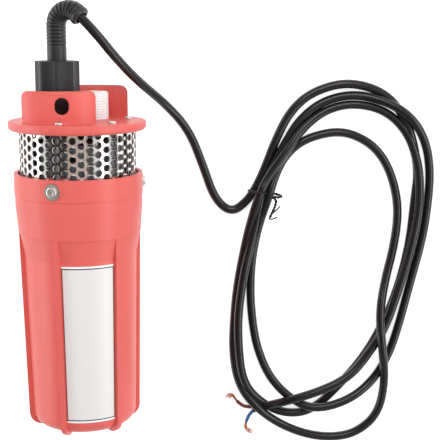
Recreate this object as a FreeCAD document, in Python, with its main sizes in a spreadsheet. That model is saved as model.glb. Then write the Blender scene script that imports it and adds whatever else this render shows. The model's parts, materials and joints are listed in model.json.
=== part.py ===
import FreeCAD, Part
import math
import os
import re
from types import SimpleNamespace

import Sketcher

# Solar submersible pump for a narrow well: a ribbed canister with the motor, a three-piston
# diaphragm pump above it, a perforated strainer round the pump and a cap with two lifting ears.
# It lies on its side with its cord coiled next to it. Lengths are in millimetres.
#
# Two frames are used. In the pump frame Z runs up the pump's own axis from the canister's
# underside, -Y faces the side with the label and X is across. In the row frame the pump lies
# on the ground: +Z is up, the cap points to +Y, and the ground is at Z = 0.

Vector, Rotation, Placement = FreeCAD.Vector, FreeCAD.Rotation, FreeCAD.Placement
UP, ACROSS, ALONG = Vector(0, 0, 1), Vector(1, 0, 0), Vector(0, 1, 0)

# Tools reach past the material they cut by OVERLAP, and drills that may pass on have THROUGH
OVERLAP = 1.0
THROUGH = 60.0
# The canister has six panels, 60 degrees each from rib to rib
PANEL = 60.0

# Driving dimensions

SIZES = {
    # canister, from its underside to the rim of its collar
    "canister_height": 182.8,
    "barrel_foot_radius": 40.4,
    "barrel_head_radius": 43.1,
    "flare_height": 19.0,
    "corner_round": 9.0,
    "neck_radius": 44.7,
    "neck_height": 7.6,
    "lip_radius": 45.1,
    "lip_height": 15.2,
    "collar_wall": 2.7,
    "shoulder_drop": 15.3,
    "floor_thickness": 4.0,
    "panel_wall": 3.0,
    "panel_depth": 3.2,
    "panel_step": 0.5,
    "panel_ramp": 15.0,
    "rib_width": 3.8,
    "foot_depth": 1.4,
    "foot_ring_width": 4.2,
    "rib_turn": -105.5,
    # blank label plate
    "label_turn": -75.5,
    "label_sweep": 53.0,
    "label_foot_margin": 0.6,
    "label_head_margin": 2.7,
    "label_thickness": 0.25,
    "label_gap": 0.02,
    # screws through the collar
    "collar_screw_drop": 8.0,
    "collar_screw_radius": 2.0,
    "collar_screw_reach": 12.0,
    "collar_head_radius": 3.6,
    "collar_head_height": 2.4,
    "washer_radius": 5.6,
    "washer_thickness": 1.0,
    "washer_seat_depth": 0.4,
    "screw_clearance": 0.05,
    # pump base, the cup between motor and pump
    "base_thickness": 12.0,
    "base_drop": 17.5,
    "cup_floor": 5.0,
    "lead_channel": 3.4,
    "cup_wall": 5.7,
    "cup_opening": 13.0,
    "pillar_inset": 3.2,
    "pillar_radius": 2.8,
    "groove_depth": 1.2,
    "seal_lift": 1.5,
    "seal_width": 2.8,
    "seal_inner_radius": 40.0,
    # strainer
    "strainer_inset": 2.1,
    "strainer_wall": 0.8,
    "strainer_columns": 22,
    "strainer_rows": 5,
    "strainer_hole_radius": 1.9,
    "strainer_pitch": 6.25,
    "strainer_first_row": 4.2,
    "strainer_turn": 2.6,
    # cap with its two lifting ears
    "cap_radius": 48.0,
    "cap_thickness": 6.3,
    "cap_gap": 30.0,
    "cap_lower_round": 2.6,
    "cap_upper_round": 1.1,
    "ear_height": 22.7,
    "ear_radius": 36.2,
    "ear_thickness": 5.0,
    "ear_x": -11.0,
    "ear_y": 3.0,
    "ear_turn": 8.0,
    "ear_half_width": 24.9,
    "front_ear_shift": -2.05,
    "rear_ear_shift": -0.6,
    "front_ear_drop": 0.8,
    "ear_corner": 4.5,
    "eye_width": 9.5,
    "eye_height": 11.6,
    "eye_level": 12.0,
    "cap_screw_turn": -102.5,
    "cap_screw_radius": 1.5,
    "cap_screw_length": 24.0,
    "cap_head_radius": 2.7,
    "cap_head_height": 2.2,
    "cap_head_sink": 0.5,
    # pump head stack
    "stack_inset": 1.5,
    "diaphragm_thickness": 2.0,
    "valve_plate_thickness": 10.0,
    "head_thickness": 13.0,
    "chamber_radius": 9.3,
    "chamber_depth": 6.5,
    "diaphragm_opening": 8.8,
    "port_radius": 2.0,
    "port_margin": 0.5,
    "inlet_port_shift": 4.0,
    "outlet_port_shift": 6.5,
    "outlet_chamber_depth": 10.5,
    "inlet_channel_depth": 7.0,
    "inlet_channel_half_width": 5.5,
    "inlet_window_width": 9.0,
    "bolt_inset": 2.1,
    "bolt_reach": 8.0,
    "bolt_radius": 1.6,
    "bolt_head_radius": 2.6,
    "bolt_head_height": 2.2,
    "valve_radius": 4.4,
    "valve_thickness": 1.0,
    "outlet_valve_radius": 13.2,
    # drive: tilted hub, bearing and wobble plate
    "wobble_angle": 4.0,
    "pivot_drop": 1.5,
    "shaft_radius": 4.0,
    "shaft_end_gap": 0.4,
    "shaft_rise": 0.1,
    "hub_radius": 8.0,
    "hub_height": 10.4,
    "hub_collar_radius": 10.5,
    "hub_collar_height": 2.2,
    "drive_bearing_radius": 14.0,
    "drive_bearing_width": 7.6,
    "race_thickness": 1.6,
    "cage_inset": 1.2,
    "wobble_cup_wall": 3.2,
    "wobble_web_rise": 2.7,
    "wobble_web_gap": 0.9,
    "wobble_plate_thickness": 3.5,
    "wobble_plate_inset": 2.4,
    "piston_radius": 7.8,
    "piston_seat_radius": 4.5,
    "piston_room": 2.5,
    "piston_drop": 2.5,
    "piston_seat_height": 2.5,
    "piston_screw_reach": 6.0,
    "piston_height": 6.5,
    "piston_screw_radius": 1.5,
    "piston_head_radius": 2.8,
    "piston_head_height": 1.4,
    "running_clearance": 0.05,
    # motor
    "motor_room": 3.7,
    "motor_wall": 1.8,
    "pad_height": 18.6,
    "rear_cover_height": 12.0,
    "front_cover_height": 12.0,
    "motor_boss_radius": 12.7,
    "motor_boss_height": 4.0,
    "magnet_thickness": 3.8,
    "magnet_start": 28.0,
    "magnet_end": 22.0,
    "magnet_sweep": 140.0,
    "air_gap": 1.25,
    "core_start": 36.0,
    "core_end": 28.0,
    "core_slots": 7,
    "slot_width": 3.0,
    "slot_depth": 12.0,
    "winding_height": 8.5,
    "winding_bore": 6.0,
    "winding_inset": 3.1,
    "commutator_radius": 9.5,
    "commutator_height": 11.0,
    "commutator_gap": 3.5,
    "brush_gap": 0.3,
    "brush_width": 5.0,
    "brush_height": 6.0,
    "brush_length": 8.0,
    "brush_ring_thickness": 2.5,
    "brush_ring_bore": 13.0,
    "brush_level": 6.0,
    "brush_holder_start": 13.5,
    "brush_holder_length": 9.0,
    "front_bearing_radius": 11.0,
    "rear_bearing_radius": 9.5,
    "bearing_width": 7.0,
    "shaft_seal_radius": 8.0,
    "shaft_seal_height": 3.0,
    "pad_inner_radius": 20.0,
    "motor_screw_circle": 22.0,
    "motor_screw_radius": 1.6,
    "motor_screw_reach": 8.0,
    # outlet
    "outlet_x": 10.3,
    "outlet_y": 11.4,
    "outlet_radius": 10.48,
    "outlet_height": 19.2,
    "outlet_stem_radius": 9.0,
    "outlet_stem_depth": 12.0,
    "outlet_bore": 6.5,
    "outlet_chamfer": 0.8,
    "outlet_seal_height": 2.0,
    # cord gland and boot
    "gland_x": -12.5,
    "gland_y": -5.0,
    "gland_foot_radius": 13.0,
    "gland_foot_height": 3.0,
    "gland_thread_radius": 11.2,
    "gland_thread_height": 26.0,
    "gland_stem_radius": 8.6,
    "gland_bore": 4.4,
    "locknut_radius": 12.0,
    "locknut_height": 3.8,
    "nut_radius": 15.2,
    "nut_height": 38.0,
    "nut_bore": 11.5,
    "nut_roof": 4.5,
    "nut_edge": 0.6,
    "nut_flutes": 9,
    "flute_radius": 3.4,
    "flute_depth": 1.5,
    "flute_turn": -85.6,
    "seal_height": 4.0,
    "boot_radius": 6.4,
    "boot_foot_radius": 9.5,
    "boot_foot_height": 3.0,
    "boot_sleeve_radius": 6.7,
    "boot_sleeve_height": 10.5,
    "boot_straight": 24.8,
    "boot_bend_radius": 9.3,
    "boot_bend_angle": 132.0,
    "boot_cup_radius": 7.2,
    "boot_cup_length": 4.0,
    # cord, its coil, the tie and the two wires at its end
    "cord_radius": 3.3,
    "cup_seat": 2.5,
    "coil_height": 14.0,
    "tie_radius": 1.2,
    "wire_radius": 1.4,
    "copper_radius": 0.9,
    "lead_radius": 1.1,
    "lead_gap": 0.8,
    "lead_half_pitch": 1.4,
    "lead_bend_radius": 4.0,
    "lead_lift": 2.2,
    "lead_turn": -30.0,
    "lead_spread": 4.0,
    # clearances
    "clearance": 0.3,
    "loose_fit": 0.2,
    "end_gap": 0.05,
    # the pump's rest on the ground
    "rest_tilt": 2.2,
}

doc = FreeCAD.newDocument("submersible_pump")
sheet = doc.addObject("Spreadsheet::Sheet", "Sizes")
for row, (alias, value) in enumerate(SIZES.items(), start=1):
    sheet.set(f"A{row}", str(value))
    sheet.setAlias(f"A{row}", alias)
doc.recompute()


class Size:
    """A number together with the sheet formula that it comes from."""

    def __init__(self, value, formula=None):
        self.value = value
        self.formula = formula or repr(value)

    def _join(self, other, sign, result):
        return Size(result, f"({self.formula} {sign} {other.formula})")

    def __add__(self, other):
        other = as_size(other)
        return self._join(other, "+", self.value + other.value)

    def __sub__(self, other):
        other = as_size(other)
        return self._join(other, "-", self.value - other.value)

    def __mul__(self, other):
        other = as_size(other)
        return self._join(other, "*", self.value * other.value)

    def __truediv__(self, other):
        other = as_size(other)
        return self._join(other, "/", self.value / other.value)

    def __neg__(self):
        return as_size(0) - self

    def __radd__(self, other):
        return as_size(other) + self

    def __rsub__(self, other):
        return as_size(other) - self

    def __rmul__(self, other):
        return as_size(other) * self


def as_size(number):
    """A plain number as a Size."""
    return number if isinstance(number, Size) else Size(number)


size = SimpleNamespace(**{name: Size(value, f"Sizes.{name}") for name, value in SIZES.items()})


# Sizes that follow the driving ones, so that a changed canister or cap carries its inside along

size.lip_bottom = size.canister_height - size.lip_height
size.neck_bottom = size.lip_bottom - size.neck_height
size.barrel_height = size.neck_bottom - size.flare_height
size.shoulder_height = size.canister_height - size.shoulder_drop
size.collar_screw_height = size.canister_height - size.collar_screw_drop
size.label_bottom = size.foot_depth + size.corner_round + size.label_foot_margin
size.label_top = size.barrel_height - size.panel_ramp - size.label_head_margin
size.foot_inner_radius = size.barrel_foot_radius - size.panel_depth - size.corner_round - size.foot_ring_width
inner_foot = size.barrel_foot_radius - size.panel_depth - size.panel_wall
inner_head = size.barrel_head_radius - size.panel_depth - size.panel_wall
collar_bore = size.lip_radius - size.collar_wall

size.motor_radius = inner_foot - size.motor_room
size.pad_outer_radius = inner_foot - (size.corner_round - size.floor_thickness) - size.loose_fit
size.core_radius = (size.motor_radius - size.motor_wall - size.screw_clearance - size.magnet_thickness
                    - size.air_gap)
size.winding_radius = size.core_radius - size.winding_inset
size.cup_radius = inner_head - size.lead_channel
size.cup_bore = size.cup_radius - size.cup_wall
size.lead_circle = (size.cup_radius + inner_head) / 2
size.lead_low_circle = size.motor_radius + size.lead_radius + size.lead_gap
size.wobble_plate_radius = size.cup_bore - size.wobble_plate_inset
size.chamber_circle = size.cup_bore - size.piston_radius - size.piston_room
size.inlet_port_circle = size.chamber_circle + size.inlet_port_shift
size.outlet_port_circle = size.chamber_circle - size.outlet_port_shift
size.outlet_chamber_radius = size.outlet_port_circle + size.port_radius + size.port_margin
size.inlet_channel_inner = size.inlet_port_circle - size.inlet_channel_half_width
size.inlet_channel_outer = size.inlet_port_circle + size.inlet_channel_half_width
size.strainer_radius = collar_bore - size.strainer_inset
size.pillar_circle = size.strainer_radius - size.strainer_wall - size.pillar_inset
size.stack_radius = size.pillar_circle - size.pillar_radius - size.stack_inset
size.bolt_circle = size.stack_radius - size.bolt_inset
size.seal_bottom = size.shoulder_height + size.seal_lift


# Levels and radii that several pieces share, in the pump frame

class Levels:
    """Heights along the pump's axis, worked out from the driving dimensions."""

    base_bottom = size.shoulder_height
    base_top = base_bottom + size.base_thickness
    cup_bottom = base_bottom - size.base_drop
    cap_bottom = size.canister_height + size.cap_gap
    cap_top = cap_bottom + size.cap_thickness
    ear_top = cap_top + size.ear_height
    plate_bottom = base_top + size.diaphragm_thickness
    head_bottom = plate_bottom + size.valve_plate_thickness
    head_top = head_bottom + size.head_thickness
    outlet_top = cap_top + size.outlet_height
    nut_bottom = cap_top + size.gland_foot_height + size.clearance
    nut_top = nut_bottom + size.nut_height


size.piston_bottom = Levels.base_top - size.piston_drop
size.wobble_plate_bottom = size.piston_bottom - size.piston_seat_height - size.wobble_plate_thickness
size.wobble_web_bottom = size.wobble_plate_bottom - size.wobble_web_rise
size.hub_top = size.wobble_web_bottom - size.wobble_web_gap
size.hub_bottom = size.hub_top - size.hub_height
size.shaft_top = size.hub_top + size.shaft_rise
size.pivot_height = Levels.base_top - size.pivot_drop
size.motor_top = Levels.cup_bottom
size.motor_bottom = size.foot_depth + size.floor_thickness + size.pad_height
size.magnet_bottom = size.motor_bottom + size.magnet_start
size.magnet_height = size.motor_top - size.magnet_end - size.magnet_bottom
size.core_bottom = size.motor_bottom + size.core_start
size.core_height = size.motor_top - size.core_end - size.core_bottom
size.commutator_bottom = size.motor_bottom + size.rear_cover_height + size.commutator_gap
size.shaft_bottom = size.motor_bottom + size.rear_cover_height - size.bearing_width + size.shaft_end_gap
size.lead_bend_top = size.motor_top
size.lead_bend_bottom = size.barrel_height - size.panel_ramp - 2

base_radius = collar_bore - size.clearance
screw_seat = size.lip_radius - size.washer_seat_depth
cap_screw_end = Levels.cap_top - size.cap_head_sink - size.cap_screw_length
bolt_end = Levels.base_top - size.bolt_reach
motor_screw_end = size.motor_top - size.motor_screw_reach
gland_thread_top = Levels.cap_top + size.gland_foot_height + size.gland_thread_height
boot_bottom = gland_thread_top + size.seal_height
boot_bend_level = Levels.nut_top + size.boot_straight
boot_centre = Vector((size.gland_x + size.boot_bend_radius).value, size.gland_y.value, boot_bend_level.value)
bend = math.radians(size.boot_bend_angle.value)
boot_mouth = Placement(
    boot_centre + Vector(-math.cos(bend), 0, math.sin(bend)) * size.boot_bend_radius.value,
    Rotation(UP, Vector(math.sin(bend), 0, math.cos(bend))))
bearing_bottom = size.hub_bottom + size.hub_collar_height
piston_screw_length = size.piston_height + size.piston_screw_reach
piston_screw_end = size.piston_bottom - size.piston_screw_reach
tilted = Placement(Vector(), Rotation(ALONG, size.wobble_angle.value), Vector(0, 0, size.pivot_height.value))
lead_angles = [(size.rib_turn + size.lead_turn + side * size.lead_spread).value for side in (-1, 1)]


# Helpers

def bind(item, **sizes):
    """Binds properties of an object to their sheet formulas."""
    for name, value in sizes.items():
        item.setExpression(name, as_size(value).formula)
    return item


def at(x=0, y=0, z=0, rotation=None):
    """A placement in the pump frame."""
    place = [as_size(n).value for n in (x, y, z)]
    return Placement(Vector(*place), rotation or Rotation())


def turned(angle):
    """A turn about the pump's axis, in degrees."""
    return Placement(Vector(), Rotation(UP, as_size(angle).value))


def arc_between(start, end, centre, turn):
    """The arc from start to end about centre, and which of its ends is the start."""
    first = math.atan2(start[1] - centre[1], start[0] - centre[0])
    last = math.atan2(end[1] - centre[1], end[0] - centre[0])
    if turn < 0:
        first, last = last, first
    if last <= first:
        last += 2 * math.pi
    radius = math.hypot(start[0] - centre[0], start[1] - centre[1])
    circle = Part.Circle(Vector(*centre, 0), UP, radius)
    return Part.ArcOfCircle(circle, first, last), (1, 2) if turn > 0 else (2, 1)


def draw_loop(sketch, corners):
    """Draws one closed outline whose corners are bound to the sheet.

    A corner is (x, y), reached by a straight line, or (x, y, centre_x, centre_y, turn),
    reached by an arc about that centre. An arc's end is level with its centre, or straight
    above or below it, so one of its coordinates follows from the arc.
    """
    plain = [[as_size(n).value for n in corner[:4]] for corner in corners]
    sides = []
    for i, corner in enumerate(corners):
        start, end = plain[i - 1][:2], plain[i][:2]
        if len(corner) == 2:
            curve, ends = Part.LineSegment(Vector(*start, 0), Vector(*end, 0)), (1, 2)
        else:
            curve, ends = arc_between(start, end, plain[i][2:], corner[4])
        sides.append((sketch.addGeometry(curve, False), *ends))

    def fix(kind, side, point, coordinate):
        index = sketch.addConstraint(
            Sketcher.Constraint(kind, -1, 1, side, point, as_size(coordinate).value))
        sketch.setExpression(f"Constraints[{index}]", as_size(coordinate).formula)

    for i, corner in enumerate(corners):
        side, _, end = sides[i]
        following, start, _ = sides[(i + 1) % len(sides)]
        sketch.addConstraint(Sketcher.Constraint("Coincident", side, end, following, start))
        if len(corner) == 2:
            fix("DistanceX", side, end, corner[0])
            fix("DistanceY", side, end, corner[1])
            continue
        fix("DistanceX", side, 3, corner[2])
        fix("DistanceY", side, 3, corner[3])
        x, y, centre_x, centre_y = plain[i]
        above_or_below = abs(x - centre_x) < abs(y - centre_y)
        fix("DistanceX" if above_or_below else "DistanceY", side, end, corner[0 if above_or_below else 1])


def sketch_on(body, role, name, *loops, turn=0):
    """A sketch on one of the body's origin planes, turned about the sheet's upright axis."""
    sketch = body.newObject("Sketcher::SketchObject", name)
    plane = [f for f in body.Origin.OriginFeatures if f.Role == role][0]
    sketch.AttachmentSupport = [(plane, "")]
    sketch.MapMode = "FlatFace"
    sketch.AttachmentOffset = Placement(Vector(), Rotation(ALONG, as_size(turn).value))
    for loop in loops:
        draw_loop(sketch, loop)
    return sketch


def circles_on(body, role, name, centres, radius, turn=0):
    """A sketch with equal circles on one of the body's origin planes."""
    sketch = sketch_on(body, role, name, turn=turn)
    for centre in centres:
        plain = Vector(*[as_size(n).value for n in centre], 0)
        circle = sketch.addGeometry(Part.Circle(plain, UP, as_size(radius).value), False)
        for kind, value in zip(("DistanceX", "DistanceY"), centre):
            index = sketch.addConstraint(Sketcher.Constraint(kind, -1, 1, circle, 3, as_size(value).value))
            sketch.setExpression(f"Constraints[{index}]", as_size(value).formula)
        index = sketch.addConstraint(Sketcher.Constraint("Radius", circle, as_size(radius).value))
        sketch.setExpression(f"Constraints[{index}]", as_size(radius).formula)
    return sketch


def revolved(name, *loops, place=Placement()):
    """A body turned about its Z axis from outlines in radius and height."""
    body = doc.addObject("PartDesign::Body", name)
    sketch = sketch_on(body, "XZ_Plane", f"{name}_profile", *loops)
    turning = body.newObject("PartDesign::Revolution", f"{name}_turning")
    turning.Profile = sketch
    turning.ReferenceAxis = (sketch, ["V_Axis"])
    turning.Angle = 360
    body.Placement = place
    return body


def tube_profile(inner, outer, bottom, top):
    """The outline of a plain ring."""
    return [(inner, bottom), (outer, bottom), (outer, top), (inner, top)]


def repeated(body, feature, count, name):
    """Repeats a feature of the body round its Z axis."""
    pattern = body.newObject("PartDesign::PolarPattern", name)
    pattern.Originals = [feature]
    axis = [f for f in body.Origin.OriginFeatures if f.Role == "Z_Axis"][0]
    pattern.Axis = (axis, [""])
    pattern.Angle = 360
    bind(pattern, Occurrences=count)
    body.Tip = pattern
    return pattern


def pocket(body, sketch, name, depth, outwards=True):
    """Cuts a sketch out of the body, along its plane's normal or against it."""
    cut = body.newObject("PartDesign::Pocket", name)
    cut.Profile = sketch
    cut.Type = "Length"
    cut.Reversed = outwards
    bind(cut, Length=depth)
    return cut


def cylinder(name, radius, height, place=Placement()):
    """A cylinder from the place upwards along its Z."""
    item = doc.addObject("Part::Cylinder", name)
    bind(item, Radius=radius, Height=height)
    item.Placement = place
    return item


def cut(name, base, tool, place=Placement()):
    """The base with the tool taken out of it."""
    item = doc.addObject("Part::Cut", name)
    item.Base, item.Tool = base, tool
    item.Placement = place
    return item


def fused(name, parts, place=Placement()):
    """Several overlapping shapes as one."""
    item = doc.addObject("Part::MultiFuse", name)
    item.Shapes = parts
    item.Placement = place
    return item


def group(name, parts, place=Placement()):
    """Separate solids that share one node."""
    item = doc.addObject("Part::Compound", name)
    item.Links = parts
    item.Placement = place
    return item


def screw(name, head_radius, head_height, shank_radius, shank_length, place):
    """A screw with its head's underside at the place and its shank pointing down."""
    head = cylinder(f"{name}_head", head_radius, head_height)
    shank = cylinder(f"{name}_shank", shank_radius, shank_length, at(z=-shank_length))
    return fused(name, [head, shank], place)


def round_the_axis(radius, angle, height=0):
    """A place on a circle round the pump's axis, in the pump frame."""
    turn = math.radians(as_size(angle).value)
    distance = as_size(radius).value
    return at(distance * math.cos(turn), distance * math.sin(turn), height)


nodes = []


def keep(item, name):
    """Marks an object as a finished piece with its own label."""
    item.Label = name
    nodes.append(item)
    return item


def radial(angle, distance, height):
    """A place whose Z points outwards from the pump's axis."""
    turn = math.radians(as_size(angle).value)
    outwards = Vector(math.cos(turn), math.sin(turn), 0)
    place = outwards * as_size(distance).value + Vector(0, 0, as_size(height).value)
    return Placement(place, Rotation(UP, outwards))


def box(name, length, width, height, place):
    """A block that starts at the place's YZ plane, centred across Y, upwards from it."""
    item = doc.addObject("Part::Box", name)
    bind(item, Length=length, Width=width, Height=height)
    centred = at(y=-as_size(width) / 2)
    item.Placement = place.multiply(centred)
    return item


def ring(name, inner, outer, height, place=Placement()):
    """A plain ring from the place upwards."""
    return revolved(name, tube_profile(inner, outer, 0, height), place=place)


def sector(name, inner, outer, height, angle, place):
    """A part of a ring, from the place's X axis round by an angle."""
    outside = cylinder(f"{name}_outside", outer, height)
    bind(outside, Angle=angle)
    inside = cylinder(f"{name}_inside", inner, height + 2 * OVERLAP, at(z=-OVERLAP))
    return cut(name, outside, inside, place)


def partly_turned(body, profile, name, kind, turn, angle):
    """A revolved feature of less than a full turn, centred on an azimuth."""
    sketch = sketch_on(body, "XZ_Plane", f"{name}_profile", profile, turn=turn)
    feature = body.newObject(f"PartDesign::{kind}", name)
    feature.Profile = sketch
    feature.ReferenceAxis = (sketch, ["V_Axis"])
    bind(feature, Angle=angle)
    feature.Midplane = True
    return feature


def every(count, start=0):
    """The azimuths of pieces spread evenly round the axis."""
    return [as_size(start).value + 360 * i / count for i in range(count)]


# Canister

def make_housing():
    """The ribbed canister with its collar, feet and screw holes."""
    foot, head = size.barrel_foot_radius, size.barrel_head_radius
    rounded = size.corner_round
    panel_foot, panel_head = foot - size.panel_depth, head - size.panel_depth
    corner = size.foot_depth + rounded
    ramp = size.barrel_height - size.panel_ramp
    floor = size.foot_depth + size.floor_thickness
    inner_round = rounded - size.floor_thickness
    outside = size.lip_radius + THROUGH
    body = revolved("canister", [
        (0, 0),
        (foot - rounded, 0),
        (foot, rounded, foot - rounded, rounded, 1),
        (head, size.barrel_height),
        (size.neck_radius, size.neck_bottom),
        (size.neck_radius, size.lip_bottom),
        (size.lip_radius, size.lip_bottom),
        (size.lip_radius, size.canister_height),
        (collar_bore, size.canister_height),
        (collar_bore, size.shoulder_height),
        (inner_head, size.shoulder_height),
        (inner_head, ramp),
        (inner_foot, corner),
        (inner_foot - inner_round, floor, inner_foot - inner_round, corner, -1),
        (0, floor),
    ])
    panel = [
        (size.foot_inner_radius, -OVERLAP),
        (outside, -OVERLAP),
        (outside, size.barrel_height),
        (head - size.panel_step, size.barrel_height),
        (panel_head, ramp),
        (panel_foot, corner),
        (panel_foot - rounded, size.foot_depth, panel_foot - rounded, corner, -1),
        (size.foot_inner_radius, size.foot_depth),
    ]
    rib_angle = size.rib_width / head * (180 / math.pi)
    recess = partly_turned(body, panel, "panel", "Groove", size.rib_turn.value + PANEL / 2, PANEL - rib_angle)
    repeated(body, recess, 360 / PANEL, "panels")
    holes = []
    for i, angle in enumerate(every(3, size.rib_turn)):
        through = radial(angle, collar_bore - OVERLAP, size.collar_screw_height)
        seat = radial(angle, screw_seat, size.collar_screw_height)
        holes.append(cylinder(f"collar_hole_{i}", size.collar_screw_radius + size.screw_clearance,
                              THROUGH, through))
        holes.append(cylinder(f"collar_seat_{i}", size.washer_radius + size.clearance, THROUGH, seat))
    keep(cut("housing", body, fused("collar_holes", holes)), "housing")


def make_label():
    """The blank plate on the front panel."""
    slope = (size.barrel_head_radius - size.barrel_foot_radius) / (
        size.barrel_height - size.panel_ramp - size.foot_depth - size.corner_round)
    start = size.foot_depth + size.corner_round
    radius = size.barrel_foot_radius - size.panel_depth + size.label_gap
    low = radius + slope * (size.label_bottom - start)
    high = radius + slope * (size.label_top - start)
    body = doc.addObject("PartDesign::Body", "label")
    profile = [
        (low, size.label_bottom),
        (low + size.label_thickness, size.label_bottom),
        (high + size.label_thickness, size.label_top),
        (high, size.label_top),
    ]
    partly_turned(body, profile, "label_plate", "Revolution", size.label_turn, size.label_sweep)
    keep(body, "label")


def make_collar_screws():
    """Three screws and washers that hold the canister on the pump base."""
    screws, washers = [], []
    for i, angle in enumerate(every(3, size.rib_turn)):
        seat = radial(angle, screw_seat, size.collar_screw_height)
        washers.append(ring(f"washer_{i}", size.collar_screw_radius + size.screw_clearance,
                            size.washer_radius, size.washer_thickness, seat))
        under_head = radial(angle, screw_seat + size.washer_thickness, size.collar_screw_height)
        screws.append(screw(f"collar_screw_{i}", size.collar_head_radius, size.collar_head_height,
                            size.collar_screw_radius, size.collar_screw_reach, under_head))
    keep(group("housing_screws", screws), "housing_screws")
    keep(group("housing_washers", washers), "housing_washers")


# Pump base and strainer

def make_pump_base():
    """The cup between motor and pump, with six pillars that carry the cap."""
    groove = Levels.base_top - size.groove_depth
    inner_groove = size.strainer_radius - size.strainer_wall - size.clearance
    outer_groove = size.strainer_radius + size.clearance
    cup = revolved("base_cup", [
        (size.cup_opening, Levels.cup_bottom),
        (size.cup_radius, Levels.cup_bottom),
        (size.cup_radius, Levels.base_bottom),
        (base_radius, Levels.base_bottom),
        (base_radius, size.seal_bottom),
        (size.seal_inner_radius, size.seal_bottom),
        (size.seal_inner_radius, size.seal_bottom + size.seal_width),
        (base_radius, size.seal_bottom + size.seal_width),
        (base_radius, Levels.base_top),
        (outer_groove, Levels.base_top),
        (outer_groove, groove),
        (inner_groove, groove),
        (inner_groove, Levels.base_top),
        (size.cup_bore, Levels.base_top),
        (size.cup_bore, Levels.cup_bottom + size.cup_floor),
        (size.cup_opening, Levels.cup_bottom + size.cup_floor),
    ])
    solids, holes = [cup], []
    for i, angle in enumerate(every(6, size.cap_screw_turn)):
        foot = round_the_axis(size.pillar_circle, angle, (Levels.base_top - OVERLAP).value)
        height = Levels.cap_bottom - Levels.base_top + OVERLAP
        solids.append(cylinder(f"pillar_{i}", size.pillar_radius, height, foot))
        drill = round_the_axis(size.pillar_circle, angle, (cap_screw_end - OVERLAP).value)
        holes.append(cylinder(f"pillar_hole_{i}", size.cap_screw_radius + size.screw_clearance,
                              THROUGH, drill))
    for i, angle in enumerate(every(3, size.rib_turn)):
        reach = screw_seat + size.washer_thickness - size.collar_screw_reach - OVERLAP
        holes.append(cylinder(f"base_side_hole_{i}", size.collar_screw_radius + size.screw_clearance, THROUGH,
                              radial(angle, reach, size.collar_screw_height)))
    for i, angle in enumerate(every(6)):
        drill = round_the_axis(size.bolt_circle, angle, (bolt_end - OVERLAP).value)
        holes.append(cylinder(f"base_bolt_hole_{i}", size.bolt_radius + size.screw_clearance, THROUGH, drill))
    for i, angle in enumerate(every(3, 45)):
        drill = round_the_axis(size.motor_screw_circle, angle, (Levels.cup_bottom - OVERLAP).value)
        holes.append(cylinder(f"motor_screw_hole_{i}", size.motor_screw_radius + size.screw_clearance,
                              size.cup_floor + 2 * OVERLAP, drill))
    for i, angle in enumerate(lead_angles):
        drill = round_the_axis(size.lead_circle, angle, (Levels.base_bottom - OVERLAP).value)
        holes.append(cylinder(f"lead_hole_{i}", size.lead_radius + size.screw_clearance,
                              size.base_thickness + 2 * OVERLAP, drill))
    keep(cut("pump_base", fused("base_with_pillars", solids), fused("base_holes", holes)), "pump_base")


def make_housing_seal():
    """The round ring that seals the canister against the pump base."""
    item = doc.addObject("Part::Torus", "housing_seal")
    bind(item,
         Radius1=(collar_bore + size.seal_inner_radius) / 2,
         Radius2=(collar_bore - size.seal_inner_radius) / 2 - 0.02)
    item.Placement = at(z=size.seal_bottom + size.seal_width / 2)
    keep(item, "housing_seal")


def make_strainer():
    """The perforated sleeve round the pump, held in grooves of the base and the cap."""
    bottom = Levels.base_top - size.groove_depth + size.end_gap
    top = Levels.cap_bottom + size.groove_depth - size.end_gap
    inner = size.strainer_radius - size.strainer_wall
    body = revolved("strainer", tube_profile(inner, size.strainer_radius, bottom, top))
    first = Levels.base_top + size.strainer_first_row
    rows = range(int(size.strainer_rows.value))
    half_column = as_size(180) / size.strainer_columns
    for name, lift, turn in (("even", 0, 0), ("odd", size.strainer_pitch / 2, half_column)):
        centres = [(0, first + lift + row * size.strainer_pitch) for row in rows]
        column = circles_on(body, "XZ_Plane", f"{name}_column", centres, size.strainer_hole_radius,
                            turn=size.strainer_turn + turn)
        holes = pocket(body, column, f"{name}_holes", size.strainer_radius * 2 + OVERLAP)
        holes.Midplane = True
        columns = repeated(body, holes, size.strainer_columns / 2, f"{name}_columns")
        bind(columns, Angle=180 - 2 * half_column)
    keep(body, "strainer")


# Cap with its lifting ears

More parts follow.
